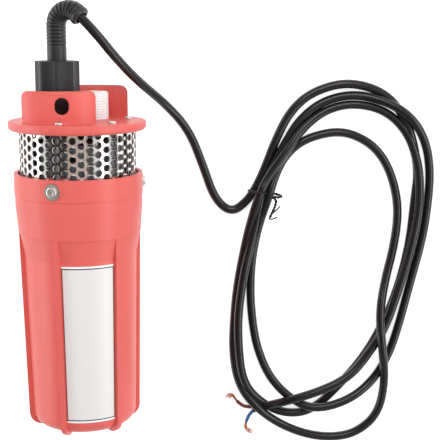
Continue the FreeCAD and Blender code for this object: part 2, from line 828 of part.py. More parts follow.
def make_ear(name, shift, drop):
    """One upright ear: part of a ring with rounded upper corners and a rope eye."""
    left, right, corner = shift - size.ear_half_width, shift + size.ear_half_width, size.ear_corner
    bottom, top = Levels.cap_top - OVERLAP, Levels.ear_top - drop
    outer = cylinder(f"{name}_outer", size.ear_radius, top - bottom, at(z=bottom))
    inner = cylinder(f"{name}_inner", size.ear_radius - size.ear_thickness, top - bottom + 2 * OVERLAP,
                     at(z=bottom - OVERLAP))
    body = doc.addObject("PartDesign::Body", f"{name}_slab")
    outline = [
        (left, bottom - OVERLAP),
        (right, bottom - OVERLAP),
        (right, top - corner),
        (right - corner, top, right - corner, top - corner, 1),
        (left + corner, top),
        (left, top - corner, left + corner, top - corner, 1),
    ]
    pad = body.newObject("PartDesign::Pad", f"{name}_pad")
    pad.Profile = sketch_on(body, "XZ_Plane", f"{name}_outline", outline)
    bind(pad, Length=size.ear_radius + OVERLAP)
    wide, straight = size.eye_width / 2, (size.eye_height - size.eye_width) / 2
    level = Levels.cap_top + size.eye_level
    eye = [
        (wide, level - straight, 0, level - straight, 1),
        (wide, level + straight),
        (-wide, level + straight, 0, level + straight, 1),
        (-wide, level - straight),
    ]
    hole = body.newObject("PartDesign::Pocket", f"{name}_eye")
    hole.Profile = sketch_on(body, "XZ_Plane", f"{name}_eye_outline", eye)
    hole.Type = "Length"
    hole.Reversed = True
    bind(hole, Length=size.ear_radius + OVERLAP)
    item = doc.addObject("Part::Common", name)
    item.Base, item.Tool = cut(f"{name}_ring", outer, inner), body
    item.Placement = at(size.ear_x, size.ear_y, 0, Rotation(UP, size.ear_turn.value))
    return item


def make_cap():
    """The round cap with both ears and the holes for outlet, gland and screws."""
    bottom, top, radius = Levels.cap_bottom, Levels.cap_top, size.cap_radius
    low, high = size.cap_lower_round, size.cap_upper_round
    inner_groove = size.strainer_radius - size.strainer_wall - size.clearance
    outer_groove = size.strainer_radius + size.clearance
    plate = revolved("cap_plate", [
        (0, bottom),
        (inner_groove, bottom),
        (inner_groove, bottom + size.groove_depth),
        (outer_groove, bottom + size.groove_depth),
        (outer_groove, bottom),
        (radius - low, bottom),
        (radius, bottom + low, radius - low, bottom + low, 1),
        (radius, top - high),
        (radius - high, top, radius - high, top - high, 1),
        (0, top),
    ])
    front = make_ear("front_ear", size.front_ear_shift, size.front_ear_drop)
    rear = make_ear("rear_ear", size.rear_ear_shift, 0)
    rear.Placement = turned(180).multiply(rear.Placement)
    below = (bottom - OVERLAP).value
    holes = [
        cylinder("outlet_hole", size.outlet_stem_radius + size.screw_clearance, THROUGH,
                 at(size.outlet_x, size.outlet_y, below)),
        cylinder("gland_hole", size.gland_stem_radius + size.screw_clearance, THROUGH,
                 at(size.gland_x, size.gland_y, below)),
    ]
    for i, angle in enumerate(every(6, size.cap_screw_turn)):
        drill = round_the_axis(size.pillar_circle, angle, below)
        sink = round_the_axis(size.pillar_circle, angle, (top - size.cap_head_sink).value)
        holes.append(cylinder(f"cap_hole_{i}", size.cap_screw_radius + size.screw_clearance,
                              size.cap_thickness + OVERLAP, drill))
        holes.append(cylinder(f"cap_sink_{i}", size.cap_head_radius + size.loose_fit,
                              size.cap_head_height + size.loose_fit, sink))
    keep(cut("top_cap", fused("cap_with_ears", [plate, front, rear]), fused("cap_holes", holes)), "top_cap")


def make_cap_screws():
    """Six screws from the cap down into the pillars of the base."""
    screws = []
    for i, angle in enumerate(every(6, size.cap_screw_turn)):
        under_head = round_the_axis(size.pillar_circle, angle, (Levels.cap_top - size.cap_head_sink).value)
        screws.append(screw(f"cap_screw_{i}", size.cap_head_radius, size.cap_head_height,
                            size.cap_screw_radius, size.cap_screw_length, under_head))
    keep(group("cap_screws", screws), "cap_screws")


# Outlet and cord gland

def make_outlet():
    """The threaded outlet, its stem through the cap and its seal on the pump head."""
    bottom = Levels.cap_bottom - size.outlet_stem_depth
    place = at(size.outlet_x, size.outlet_y)
    fitting = revolved("outlet_fitting", [
        (size.outlet_bore, bottom),
        (size.outlet_stem_radius, bottom),
        (size.outlet_stem_radius, Levels.cap_top),
        (size.outlet_radius, Levels.cap_top),
        (size.outlet_radius, Levels.outlet_top - size.outlet_chamfer),
        (size.outlet_radius - size.outlet_chamfer, Levels.outlet_top),
        (size.outlet_bore, Levels.outlet_top),
    ], place=place)
    keep(fitting, "outlet_fitting")
    seal = ring("outlet_seal", size.outlet_stem_radius, size.outlet_stem_radius + 3,
                size.outlet_seal_height, at(size.outlet_x, size.outlet_y, Levels.head_top))
    keep(seal, "outlet_seal")


def make_gland():
    """The cord gland: body, locknut under the cap, fluted nut and rubber seal."""
    place = at(size.gland_x, size.gland_y)
    stem_bottom = Levels.cap_bottom - size.locknut_height
    foot_top = Levels.cap_top + size.gland_foot_height
    body = revolved("gland_body", [
        (size.gland_bore, stem_bottom),
        (size.gland_stem_radius, stem_bottom),
        (size.gland_stem_radius, Levels.cap_top),
        (size.gland_foot_radius, Levels.cap_top),
        (size.gland_foot_radius, foot_top),
        (size.gland_thread_radius, foot_top),
        (size.gland_thread_radius, gland_thread_top),
        (size.gland_bore, gland_thread_top),
    ], place=place)
    keep(body, "gland_body")
    flats = doc.addObject("Part::Prism", "locknut_flats")
    flats.Polygon = 6
    bind(flats, Circumradius=size.locknut_radius, Height=size.locknut_height)
    bore = cylinder("locknut_bore", size.gland_stem_radius + size.screw_clearance, THROUGH,
                    at(z=-OVERLAP))
    keep(cut("gland_locknut", flats, bore, at(size.gland_x, size.gland_y, stem_bottom)), "gland_locknut")
    roof = Levels.nut_top - size.nut_roof
    nut = revolved("gland_nut", [
        (size.nut_bore, Levels.nut_bottom),
        (size.nut_radius, Levels.nut_bottom),
        (size.nut_radius, Levels.nut_top - size.nut_edge),
        (size.nut_radius - size.nut_edge, Levels.nut_top),
        (size.boot_sleeve_radius + size.clearance, Levels.nut_top),
        (size.boot_sleeve_radius + size.clearance, roof),
        (size.nut_bore, roof),
    ], place=at(size.gland_x, size.gland_y, 0, Rotation(UP, size.flute_turn.value)))
    centre = size.nut_radius + size.flute_radius - size.flute_depth
    flute_sketch = circles_on(nut, "XY_Plane", "flute_outline", [(centre, 0)], size.flute_radius)
    flute = pocket(nut, flute_sketch, "flute", Levels.nut_top + OVERLAP)
    repeated(nut, flute, size.nut_flutes, "flutes")
    keep(nut, "gland_nut")
    seal = ring("gland_seal", size.cord_radius + size.screw_clearance, size.nut_bore - size.clearance,
                size.seal_height, at(size.gland_x, size.gland_y, gland_thread_top))
    keep(seal, "gland_seal")


def bent_round(name, radius, bottom, length):
    """A round bar that rises beside the gland's axis and bends over with the boot."""
    straight = cylinder(f"{name}_straight", radius, length, at(size.gland_x, size.gland_y, bottom))
    bend = doc.addObject("Part::Torus", f"{name}_bend")
    bind(bend, Radius1=size.boot_bend_radius, Radius2=radius, Angle3=size.boot_bend_angle)
    bend.Placement = Placement(boot_centre, Rotation(Vector(-1, 0, 0), UP, ALONG, "ZXY"))
    return [straight, bend]


def make_boot():
    """The rubber boot over the cord, and the stretch of cord inside it and the gland."""
    bend_bottom = boot_bend_level - boot_bottom
    solids = bent_round("boot_outer", size.boot_radius, boot_bottom, bend_bottom)
    solids.append(cylinder("boot_foot", size.boot_foot_radius, size.boot_foot_height,
                           at(size.gland_x, size.gland_y, boot_bottom)))
    sleeve = Levels.nut_top - boot_bottom + size.boot_sleeve_height
    solids.append(cylinder("boot_sleeve", size.boot_sleeve_radius, sleeve,
                           at(size.gland_x, size.gland_y, boot_bottom)))
    solids.append(cylinder("boot_cup", size.boot_cup_radius, size.boot_cup_length, boot_mouth))
    bore = bent_round("boot_bore", size.cord_radius + size.screw_clearance, boot_bottom - OVERLAP,
                      bend_bottom + OVERLAP)
    bore.append(cylinder("boot_mouth_bore", size.cord_radius + size.screw_clearance, THROUGH, boot_mouth))
    keep(cut("cord_boot", fused("boot_solid", solids), fused("boot_bores", bore)), "cord_boot")
    inner_bottom = Levels.cap_bottom - size.locknut_height + 2
    inner = bent_round("cord_inside", size.cord_radius, inner_bottom, boot_bend_level - inner_bottom)
    inner.append(cylinder("cord_end", size.cord_radius, size.boot_cup_length - size.cup_seat, boot_mouth))
    keep(fused("cord_in_gland", inner), "cord_in_gland")


# Pump head

def make_pump_head():
    """Diaphragm, valve plate, head, valves and the bolts through them."""
    bolt_holes, chambers, inlet_ports, outlet_ports, openings = [], [], [], [], []
    for i, angle in enumerate(every(6)):
        foot = round_the_axis(size.bolt_circle, angle, (Levels.base_top - OVERLAP).value)
        bolt_holes.append(cylinder(f"bolt_hole_{i}", size.bolt_radius + size.screw_clearance, THROUGH, foot))
    drilled = fused("bolt_holes", bolt_holes)
    for i, angle in enumerate(every(3, 30)):
        bottom = Levels.plate_bottom.value
        openings.append(cylinder(f"membrane_opening_{i}", size.diaphragm_opening, THROUGH,
                                 round_the_axis(size.chamber_circle, angle, bottom - THROUGH / 2)))
        chambers.append(cylinder(f"chamber_{i}", size.chamber_radius, size.chamber_depth + OVERLAP,
                                 round_the_axis(size.chamber_circle, angle, bottom - OVERLAP)))
        inlet_ports.append(cylinder(f"inlet_port_{i}", size.port_radius, THROUGH,
                                    round_the_axis(size.inlet_port_circle, angle, bottom)))
        outlet_ports.append(cylinder(f"outlet_port_{i}", size.port_radius, THROUGH,
                                     round_the_axis(size.outlet_port_circle, angle, bottom)))
    membrane = cylinder("membrane_disc", size.stack_radius, size.diaphragm_thickness, at(z=Levels.base_top))
    keep(cut("diaphragm", membrane, fused("membrane_openings", openings + bolt_holes)), "diaphragm")
    plate = cylinder("plate_disc", size.stack_radius, size.valve_plate_thickness, at(z=Levels.plate_bottom))
    plate_cuts = fused("plate_cuts", chambers + inlet_ports + outlet_ports + bolt_holes)
    keep(cut("valve_plate", plate, plate_cuts), "valve_plate")
    bottom = Levels.head_bottom
    head = revolved("head_turning", [
        (0, bottom + size.outlet_chamber_depth),
        (size.outlet_chamber_radius, bottom + size.outlet_chamber_depth),
        (size.outlet_chamber_radius, bottom),
        (size.inlet_channel_inner, bottom),
        (size.inlet_channel_inner, bottom + size.inlet_channel_depth),
        (size.inlet_channel_outer, bottom + size.inlet_channel_depth),
        (size.inlet_channel_outer, bottom),
        (size.stack_radius, bottom),
        (size.stack_radius, Levels.head_top),
        (0, Levels.head_top),
    ])
    socket_bottom = Levels.cap_bottom - size.outlet_stem_depth - size.clearance
    socket = cylinder("outlet_socket", size.outlet_stem_radius + size.clearance, THROUGH,
                      at(size.outlet_x, size.outlet_y, socket_bottom))
    windows = []
    for i, angle in enumerate(every(3, 30)):
        place = turned(angle).multiply(at(size.inlet_channel_outer - OVERLAP, 0, bottom + OVERLAP))
        windows.append(box(f"inlet_window_{i}", THROUGH, size.inlet_window_width,
                           size.inlet_channel_depth - 2 * OVERLAP, place))
    keep(cut("pump_head", head, fused("head_cuts", [socket, drilled] + windows)), "pump_head")
    bolts = []
    for i, angle in enumerate(every(6)):
        under_head = round_the_axis(size.bolt_circle, angle, Levels.head_top.value)
        bolts.append(screw(f"bolt_{i}", size.bolt_head_radius, size.bolt_head_height, size.bolt_radius,
                           Levels.head_top - bolt_end, under_head))
    keep(group("head_bolts", bolts), "head_bolts")
    ceiling = Levels.plate_bottom + size.chamber_depth
    discs = []
    disc_bottom = (ceiling - size.valve_thickness).value
    for i, angle in enumerate(every(3, 30)):
        discs.append(cylinder(f"inlet_disc_{i}", size.valve_radius, size.valve_thickness,
                              round_the_axis(size.inlet_port_circle, angle, disc_bottom)))
    keep(group("inlet_valves", discs), "inlet_valves")
    keep(cylinder("outlet_valve", size.outlet_valve_radius, size.valve_thickness, at(z=bottom)),
         "outlet_valve")


# Tilted drive

def make_drive():
    """The tilted hub, its bearing, the wobble plate and the three pistons."""
    hub = revolved("hub_turning", [
        (0, size.hub_bottom),
        (size.hub_collar_radius, size.hub_bottom),
        (size.hub_collar_radius, bearing_bottom),
        (size.hub_radius, bearing_bottom),
        (size.hub_radius, size.hub_top),
        (0, size.hub_top),
    ], place=tilted)
    shaft_hole = cylinder("hub_bore", size.shaft_radius, THROUGH, at(z=size.hub_bottom - THROUGH / 2))
    keep(cut("wobble_hub", hub, shaft_hole), "wobble_hub")
    race = size.race_thickness
    place = tilted.multiply(at(z=bearing_bottom))
    keep(ring("drive_bearing_inner", size.hub_radius, size.hub_radius + race,
              size.drive_bearing_width, place), "drive_bearing_inner")
    keep(ring("drive_bearing_outer", size.drive_bearing_radius - race, size.drive_bearing_radius,
              size.drive_bearing_width, place), "drive_bearing_outer")
    cage = tilted.multiply(at(z=bearing_bottom + size.cage_inset))
    keep(ring("drive_bearing_cage", size.hub_radius + race + size.clearance,
              size.drive_bearing_radius - race - size.clearance,
              size.drive_bearing_width - 2 * size.cage_inset, cage), "drive_bearing_cage")
    plate_top = size.wobble_plate_bottom + size.wobble_plate_thickness
    cup_radius = size.drive_bearing_radius + size.wobble_cup_wall
    plate = revolved("wobble_turning", [
        (size.drive_bearing_radius, bearing_bottom + size.clearance),
        (cup_radius, bearing_bottom + size.clearance),
        (cup_radius, size.wobble_plate_bottom),
        (size.wobble_plate_radius, size.wobble_plate_bottom),
        (size.wobble_plate_radius, plate_top),
        (0, plate_top),
        (0, size.wobble_web_bottom),
        (size.drive_bearing_radius, size.wobble_web_bottom),
    ])
    piston_top = size.piston_bottom + size.piston_height
    seats, holes, caps, screws = [plate], [], [], []
    for i, angle in enumerate(every(3, 30)):
        foot = round_the_axis(size.chamber_circle, angle, (plate_top - OVERLAP).value)
        seats.append(cylinder(f"piston_seat_{i}", size.piston_seat_radius,
                              size.piston_bottom - plate_top + OVERLAP, foot))
        drill = round_the_axis(size.chamber_circle, angle, (piston_screw_end - OVERLAP).value)
        holes.append(cylinder(f"seat_hole_{i}", size.piston_screw_radius + size.screw_clearance,
                              THROUGH, drill))
        cap = ring(f"piston_cap_{i}", size.piston_screw_radius + size.screw_clearance, size.piston_radius,
                   size.piston_height, round_the_axis(size.chamber_circle, angle, size.piston_bottom.value))
        caps.append(cap)
        under_head = round_the_axis(size.chamber_circle, angle, piston_top.value)
        screws.append(screw(f"piston_screw_{i}", size.piston_head_radius, size.piston_head_height,
                            size.piston_screw_radius, piston_screw_length, under_head))
    seated = fused("wobble_with_seats", seats)
    keep(cut("wobble_plate", seated, fused("seat_holes", holes), tilted), "wobble_plate")
    keep(group("piston_caps", caps, tilted), "piston_caps")
    keep(group("piston_screws", screws, tilted), "piston_screws")


# Motor

def make_motor():
    """The brushed motor: can, covers, bearings, seal, magnets, brushes and screws."""
    inside = size.motor_radius - size.motor_wall
    cover = inside - size.screw_clearance
    keep(revolved("motor_can", tube_profile(inside, size.motor_radius, size.motor_bottom, size.motor_top)),
         "motor_can")
    rear_top = size.motor_bottom + size.rear_cover_height
    keep(revolved("motor_rear_cover", [
        (0, size.motor_bottom),
        (cover, size.motor_bottom),
        (cover, rear_top),
        (size.rear_bearing_radius, rear_top),
        (size.rear_bearing_radius, rear_top - size.bearing_width),
        (0, rear_top - size.bearing_width),
    ]), "motor_rear_cover")
    front_bottom = size.motor_top - size.front_cover_height
    bearing_top = front_bottom + size.bearing_width
    boss_top = size.motor_top + size.motor_boss_height
    screw_holes = []
    for i, angle in enumerate(every(3, 45)):
        drill = round_the_axis(size.motor_screw_circle, angle, (motor_screw_end - OVERLAP).value)
        screw_holes.append(cylinder(f"cover_screw_hole_{i}", size.motor_screw_radius + size.screw_clearance,
                                    THROUGH, drill))
    front = revolved("front_cover_turning", [
        (size.shaft_radius + size.clearance, bearing_top),
        (size.front_bearing_radius, bearing_top),
        (size.front_bearing_radius, front_bottom),
        (cover, front_bottom),
        (cover, size.motor_top),
        (size.motor_boss_radius, size.motor_top),
        (size.motor_boss_radius, boss_top),
        (size.shaft_seal_radius, boss_top),
        (size.shaft_seal_radius, boss_top - size.shaft_seal_height),
        (size.shaft_radius + size.clearance, boss_top - size.shaft_seal_height),
    ])
    keep(cut("motor_front_cover", front, fused("cover_screw_holes", screw_holes)), "motor_front_cover")
    run_bore = size.shaft_radius + size.running_clearance
    keep(ring("shaft_seal", run_bore, size.shaft_seal_radius, size.shaft_seal_height,
              at(z=boss_top - size.shaft_seal_height)), "shaft_seal")
    keep(ring("front_bearing", run_bore, size.front_bearing_radius, size.bearing_width,
              at(z=front_bottom)), "front_bearing")
    keep(ring("rear_bearing", run_bore, size.rear_bearing_radius, size.bearing_width,
              at(z=rear_top - size.bearing_width)), "rear_bearing")
    magnets = []
    for i, start in enumerate(every(2, -size.magnet_sweep / 2)):
        place = turned(start).multiply(at(z=size.magnet_bottom))
        magnets.append(sector(f"magnet_{i}", cover - size.magnet_thickness, cover, size.magnet_height,
                              size.magnet_sweep, place))
    keep(group("magnets", magnets), "magnets")
    screws = []
    screw_top = Levels.cup_bottom + size.cup_floor
    for i, angle in enumerate(every(3, 45)):
        under_head = round_the_axis(size.motor_screw_circle, angle, screw_top.value)
        screws.append(screw(f"motor_screw_{i}", size.bolt_head_radius, size.bolt_head_height,
                            size.motor_screw_radius, screw_top - motor_screw_end, under_head))
    keep(group("motor_screws", screws), "motor_screws")
    make_brushes(rear_top, cover)
    pad = revolved("motor_pad", tube_profile(size.pad_inner_radius, size.pad_outer_radius,
                                             size.foot_depth + size.floor_thickness, size.motor_bottom))
    keep(pad, "motor_pad")


def make_brushes(bottom, cover):
    """The ring on the rear cover with two brush holders, and the brushes in them."""
    plate = ring("brush_ring", size.brush_ring_bore, cover, size.brush_ring_thickness)
    wide, tall = size.brush_width, size.brush_height
    solids, channels, brushes = [plate], [], []
    level = size.brush_level
    for i, angle in enumerate(every(2, 90)):
        block = turned(angle).multiply(at(size.brush_holder_start))
        solids.append(box(f"brush_block_{i}", size.brush_holder_length, wide + 3, level + tall + 1.5, block))
        slot = turned(angle).multiply(at(size.brush_holder_start - 1, 0, level - size.loose_fit))
        channels.append(box(f"brush_slot_{i}", size.brush_holder_length - 1, wide + 2 * size.loose_fit,
                            tall + 2 * size.loose_fit, slot))
        place = at(z=bottom).multiply(turned(angle)).multiply(
            at(size.commutator_radius + size.brush_gap, 0, level))
        brushes.append(box(f"brush_{i}", size.brush_length, wide, tall, place))
    holder = cut("brush_holder", fused("brush_blocks", solids), fused("brush_slots", channels), at(z=bottom))
    keep(holder, "brush_holder")
    keep(group("brushes", brushes), "brushes")


def make_rotor():
    """The shaft with core, windings and commutator."""
    keep(cylinder("motor_shaft", size.shaft_radius, size.shaft_top - size.shaft_bottom,
                  at(z=size.shaft_bottom)), "motor_shaft")
    core = revolved("rotor_core", tube_profile(size.shaft_radius, size.core_radius, 0, size.core_height),
                    place=at(z=size.core_bottom))
    half = size.slot_width / 2
    inner = size.core_radius - size.slot_depth
    slot_sketch = sketch_on(core, "XY_Plane", "slot_outline", [
        (inner, -half),
        (size.core_radius + OVERLAP, -half),
        (size.core_radius + OVERLAP, half),
        (inner, half),
    ])
    slot = pocket(core, slot_sketch, "slot", size.core_height + OVERLAP)
    repeated(core, slot, size.core_slots, "slots")
    keep(core, "rotor_core")
    coils = []
    for name, bottom in (("lower", size.core_bottom - size.winding_height),
                         ("upper", size.core_bottom + size.core_height)):
        coils.append(ring(f"{name}_turns", size.winding_bore, size.winding_radius, size.winding_height,
                          at(z=bottom)))
    length = size.winding_radius - inner - size.loose_fit
    for i in range(int(size.core_slots.value)):
        place = turned(360 * i / size.core_slots.value).multiply(
            at(inner + size.loose_fit, 0, size.core_bottom - OVERLAP))
        coils.append(box(f"slot_winding_{i}", length, size.slot_width - 2 * size.loose_fit,
                         size.core_height + 2 * OVERLAP, place))
    keep(fused("windings", coils), "windings")
    keep(ring("commutator", size.shaft_radius, size.commutator_radius, size.commutator_height,
              at(z=size.commutator_bottom)), "commutator")


# Cords and wires

def rounded_path(name, points, bend_radius):
    """Straight runs joined by tangent arcs, as wide as they fit or of one radius."""
    pieces, start, radii = [], points[0], []
    for before, corner, after in zip(points, points[1:], points[2:]):
        arriving, leaving = corner - before, after - corner
        turn = arriving.getAngle(leaving)
        reach = 0.45 * min(arriving.Length, leaving.Length)
        if bend_radius:
            reach = min(reach, as_size(bend_radius).value * math.tan(turn / 2))
        radii.append(reach / math.tan(turn / 2))
        arriving.normalize()
        leaving.normalize()
        enter, leave = corner - arriving * reach, corner + leaving * reach
        inwards = leaving - arriving
        inwards.normalize()
        middle = corner + inwards * (radii[-1] / math.cos(turn / 2) - radii[-1])
        pieces.append(Part.LineSegment(start, enter).toShape())
        pieces.append(Part.Arc(enter, middle, leave).toShape())
        start = leave
    pieces.append(Part.LineSegment(start, points[-1]).toShape())
    path = Part.Wire(pieces)
    print(f"{name}: length {path.Length:.1f} mm, radii " + " ".join(f"{r:.0f}" for r in radii))
    return path


def make_tube(name, points, radius, bend_radius=None):
    """A round tube along a path of straight runs and arcs."""
    points = [Vector(*point) for point in points]
    radius = as_size(radius).value
    path = rounded_path(name, points, bend_radius)
    section = Part.Face(Part.Wire(Part.Circle(points[0], points[1] - points[0], radius).toShape()))
    shape = path.makePipe(section)
    if shape.ShapeType != "Solid":
        shape = Part.Solid(shape.Shells[0])
    expected = math.pi * radius ** 2 * path.Length
    print(f"{name}: volume {shape.Volume:.0f} against {expected:.0f} mm3")
    if abs(shape.Volume / expected - 1) > 0.02:
        raise RuntimeError(f"{name} isn't a plain tube")
    item = doc.addObject("Part::Feature", name)
    item.Shape = shape
    return item


def make_leads():
    """Two insulated leads from the gland down past the pump to the motor's rear cover."""
    tubes = []
    start = Vector(size.gland_x.value, size.gland_y.value, 0)
    low = (size.motor_bottom + size.rear_cover_height / 2).value
    level = (Levels.head_top + size.lead_lift).value
    for i, angle in enumerate(lead_angles):
        turn = math.radians(angle)
        outwards = Vector(math.cos(turn), math.sin(turn), 0)
        half_pitch = size.lead_half_pitch.value
        sideways = Vector(-outwards.y, outwards.x, 0) * (half_pitch if i else -half_pitch)
        outer, inner = size.lead_circle.value, size.lead_low_circle.value
        route = [
            start + sideways + Vector(0, 0, (Levels.cap_bottom - size.locknut_height + 2).value),
            start + sideways + Vector(0, 0, level),
            outwards * outer + Vector(0, 0, level),
            outwards * outer + Vector(0, 0, size.lead_bend_top.value),
            outwards * inner + Vector(0, 0, size.lead_bend_bottom.value),
            outwards * inner + Vector(0, 0, low),
            outwards * size.motor_radius.value + Vector(0, 0, low),
        ]
        tubes.append(make_tube(f"motor_lead_{i}", route, size.lead_radius, size.lead_bend_radius))
    keep(group("motor_leads", tubes), "motor_leads")


CORD_ROUTE = [
    (16.5, 131.7, 55.0),
    (27.5, 112.9, 47.0),
    (43.0, 95.9, 30.0),
    (60.5, 78.9, 13.0),
    (77.0, 59.4, 3.3),
    (87.5, 32.4, 3.3),
    (97.0, 5.9, 3.3),
    (110.0, -6.1, 3.3),
    (121.5, 5.6, 3.3),
]

COIL_OUTSIDE = [
    (122.5, 14.4), (132, 39.4), (147.5, 72.4), (165, 88.9), (194, 97.2), (226, 87.6), (250, 63.4),
    (259.4, 28.4), (255.5, -22.1), (240, -87.6), (229.5, -133.6), (209, -174.6), (189.5, -179.9),
    (167, -177.6), (143.8, -168.8), (119, -146.6), (107.5, -111.1), (108, -73.6), (114, -33.6),
]

COIL_INSIDE = [
    (187, 55.4), (207, 48.1), (221, 32.4), (229.4, 0.4), (219, -67.6), (203, -111.6), (184, -133.1),
    (158, -138.1), (138, -120.6), (128, -83.6), (128, -48.6), (144.3, 10.9), (156, 44.4),
]


def make_coil():
    """One closed solid in the outer shape of the coiled cord, with the coil's opening."""
    outlines = []
    for points in (COIL_OUTSIDE, COIL_INSIDE):
        curve = Part.BSplineCurve()
        curve.interpolate(Points=[Vector(x, y, 0) for x, y in points], PeriodicFlag=True)
        outlines.append(Part.Face(Part.Wire(curve.toShape())))
    sheet_shape = outlines[0].cut(outlines[1])
    item = doc.addObject("Part::Feature", "cord_coil")
    item.Shape = sheet_shape.extrude(Vector(0, 0, size.coil_height.value))
    keep(item, "cord_coil")


def make_cord(rest):
    """The free stretch of cord, the coil, the tie and the two wires at the cord's end."""
    seat = rest.multiply(boot_mouth).multVec(Vector(0, 0, (size.boot_cup_length - size.cup_seat).value))
    keep(make_tube("cord", [tuple(seat)] + CORD_ROUTE, size.cord_radius), "cord")
    make_coil()
    over = (size.coil_height + size.tie_radius).value
    low = size.tie_radius.value
    tie = [
        (120.5, 14.2, low), (120.3, 14.4, over), (145.5, 10.8, over), (146.2, 10.2, over - 6.5),
    ]
    keep(make_tube("cord_tie", tie, size.tie_radius), "cord_tie")
    keep(make_tube("brown_wire", [(125.5, -153.0, 4.2), (119.0, -153.2, 3.3), (113.7, -149.7, 1.8)],
                   size.wire_radius), "brown_wire")
    keep(make_tube("brown_strands", [(113.7, -149.7, 1.8), (110.8, -145.5, 1.3), (107.2, -144.6, 1.0)],
                   size.copper_radius), "brown_strands")
    keep(make_tube("blue_wire", [(127.6, -154.8, 4.2), (123.0, -159.8, 3.3), (120.9, -165.6, 1.8)],
                   size.wire_radius), "blue_wire")
    keep(make_tube("blue_strands", [(120.9, -165.6, 1.8), (120.3, -170.6, 1.2), (124.0, -173.8, 1.0)],
                   size.copper_radius), "blue_strands")


def lay_down():
    """Puts the pump on the ground, its outline's middle at the origin, and returns its place."""
    lying = Placement(Vector(), Rotation(ACROSS, (size.rest_tilt - 90).value))
    outline = FreeCAD.BoundBox()
    for item in nodes:
        item.Placement = lying.multiply(item.Placement)
        outline.add(item.Shape.optimalBoundingBox(False))
    middle = outline.Center
    to_ground = Placement(Vector(-middle.x, -middle.y, -outline.ZMin), Rotation())
    for item in nodes:
        item.Placement = to_ground.multiply(item.Placement)
    return to_ground.multiply(lying)


def check(item):
    """Stops the build when a piece has no good shape."""
    if "Invalid" in item.State or "Error" in item.State or item.Shape.isNull() or not item.Shape.isValid():
        raise RuntimeError(f"{item.Label} has no valid shape: {item.State}")


def main():
    """Builds every piece, lays the pump down and writes the pieces."""
    os.makedirs("parts", exist_ok=True)
    for make in (make_housing, make_label, make_collar_screws, make_pump_base, make_housing_seal,
                 make_strainer, make_cap, make_cap_screws, make_outlet, make_gland, make_boot,
                 make_pump_head, make_drive, make_motor, make_rotor, make_leads):
        make()
    doc.recompute()
    rest = lay_down()
    make_cord(rest)
    doc.recompute()
    whole = FreeCAD.BoundBox()
    for item in nodes:
        check(item)
        shape = item.Shape
        if not re.match("cord$|cord_coil|cord_tie|brown|blue", item.Label):
            whole.add(shape.optimalBoundingBox(False))
        shape.exportStep(f"parts/{item.Label}.step")
    print(f"{len(nodes)} pieces, the pump from {whole.XMin:.3f} {whole.YMin:.3f} {whole.ZMin:.3f}"
          f" to {whole.XMax:.3f} {whole.YMax:.3f} {whole.ZMax:.3f} mm")


main()
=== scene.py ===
"""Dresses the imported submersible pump: studio, cord, coil, strainer, boot and every finish."""

import json
import logging
import math
from collections.abc import Callable, Iterator
from contextlib import contextmanager
from dataclasses import dataclass
from enum import Enum

import bmesh
import bpy
from mathutils import Matrix, Vector


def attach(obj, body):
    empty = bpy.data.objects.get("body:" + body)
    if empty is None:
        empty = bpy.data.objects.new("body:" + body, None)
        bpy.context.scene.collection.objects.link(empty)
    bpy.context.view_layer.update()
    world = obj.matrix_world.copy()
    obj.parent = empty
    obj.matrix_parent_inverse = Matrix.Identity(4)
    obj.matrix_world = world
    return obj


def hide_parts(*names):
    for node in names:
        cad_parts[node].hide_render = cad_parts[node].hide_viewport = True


logging.basicConfig(level=logging.INFO, format="%(message)s")
log = logging.getLogger("pump")

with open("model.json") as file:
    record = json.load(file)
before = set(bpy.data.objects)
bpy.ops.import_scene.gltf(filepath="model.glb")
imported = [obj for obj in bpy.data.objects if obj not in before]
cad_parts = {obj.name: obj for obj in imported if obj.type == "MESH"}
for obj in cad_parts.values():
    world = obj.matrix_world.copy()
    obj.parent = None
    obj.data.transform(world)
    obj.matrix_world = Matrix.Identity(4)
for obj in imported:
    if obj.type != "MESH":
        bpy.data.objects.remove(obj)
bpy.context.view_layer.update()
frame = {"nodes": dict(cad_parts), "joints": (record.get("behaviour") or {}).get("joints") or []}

MM = 0.001
Colour = tuple[int, int, int]
Point = tuple[float, float, float]
Outline = list[tuple[float, float]]
Piece = bpy.types.Object
Tree = bpy.types.NodeTree
Socket = bpy.types.NodeSocket


# The pump's own frame

class PumpFrame:
    """Z runs up the pump's axis from the canister's underside, -Y faces the label."""

    PIVOT_HEIGHT = 178.0 * MM

    def __init__(self) -> None:
        """Finds the axis from the motor's joint."""
        joint = next(j for j in frame["joints"] if j["name"] == "rotor_spin")
        up = Vector(joint["axis"]).normalized()
        across = Vector((1, 0, 0))
        back = up.cross(across)
        origin = Vector(joint["pos_m"]) - up * self.PIVOT_HEIGHT
        turning = Matrix((across, back, up)).transposed().to_4x4()
        self.place = Matrix.Translation(origin) @ turning

    def point(self, x: float, y: float, z: float) -> Vector:
        """Returns a point of the pump, given in millimetres, in the row frame."""
        return self.place @ Vector((x * MM, y * MM, z * MM))


pump = PumpFrame()


# Modelling helpers

def deselect() -> None:
    """Deselects every object."""
    for each in list(bpy.context.selected_objects):
        each.select_set(False)


def take(piece: Piece) -> None:
    """Makes a piece the only selected and active one.

    Args:
        piece: The piece to work on.
    """
    deselect()
    piece.select_set(True)
    bpy.context.view_layer.objects.active = piece


def added(name: str) -> Piece:
    """Names the piece that an operator has just made.

    Args:
        name: The name of the piece and of its mesh.

    Returns:
        The piece.
    """
    piece = bpy.context.object
    piece.name = name
    piece.data.name = name
    return piece


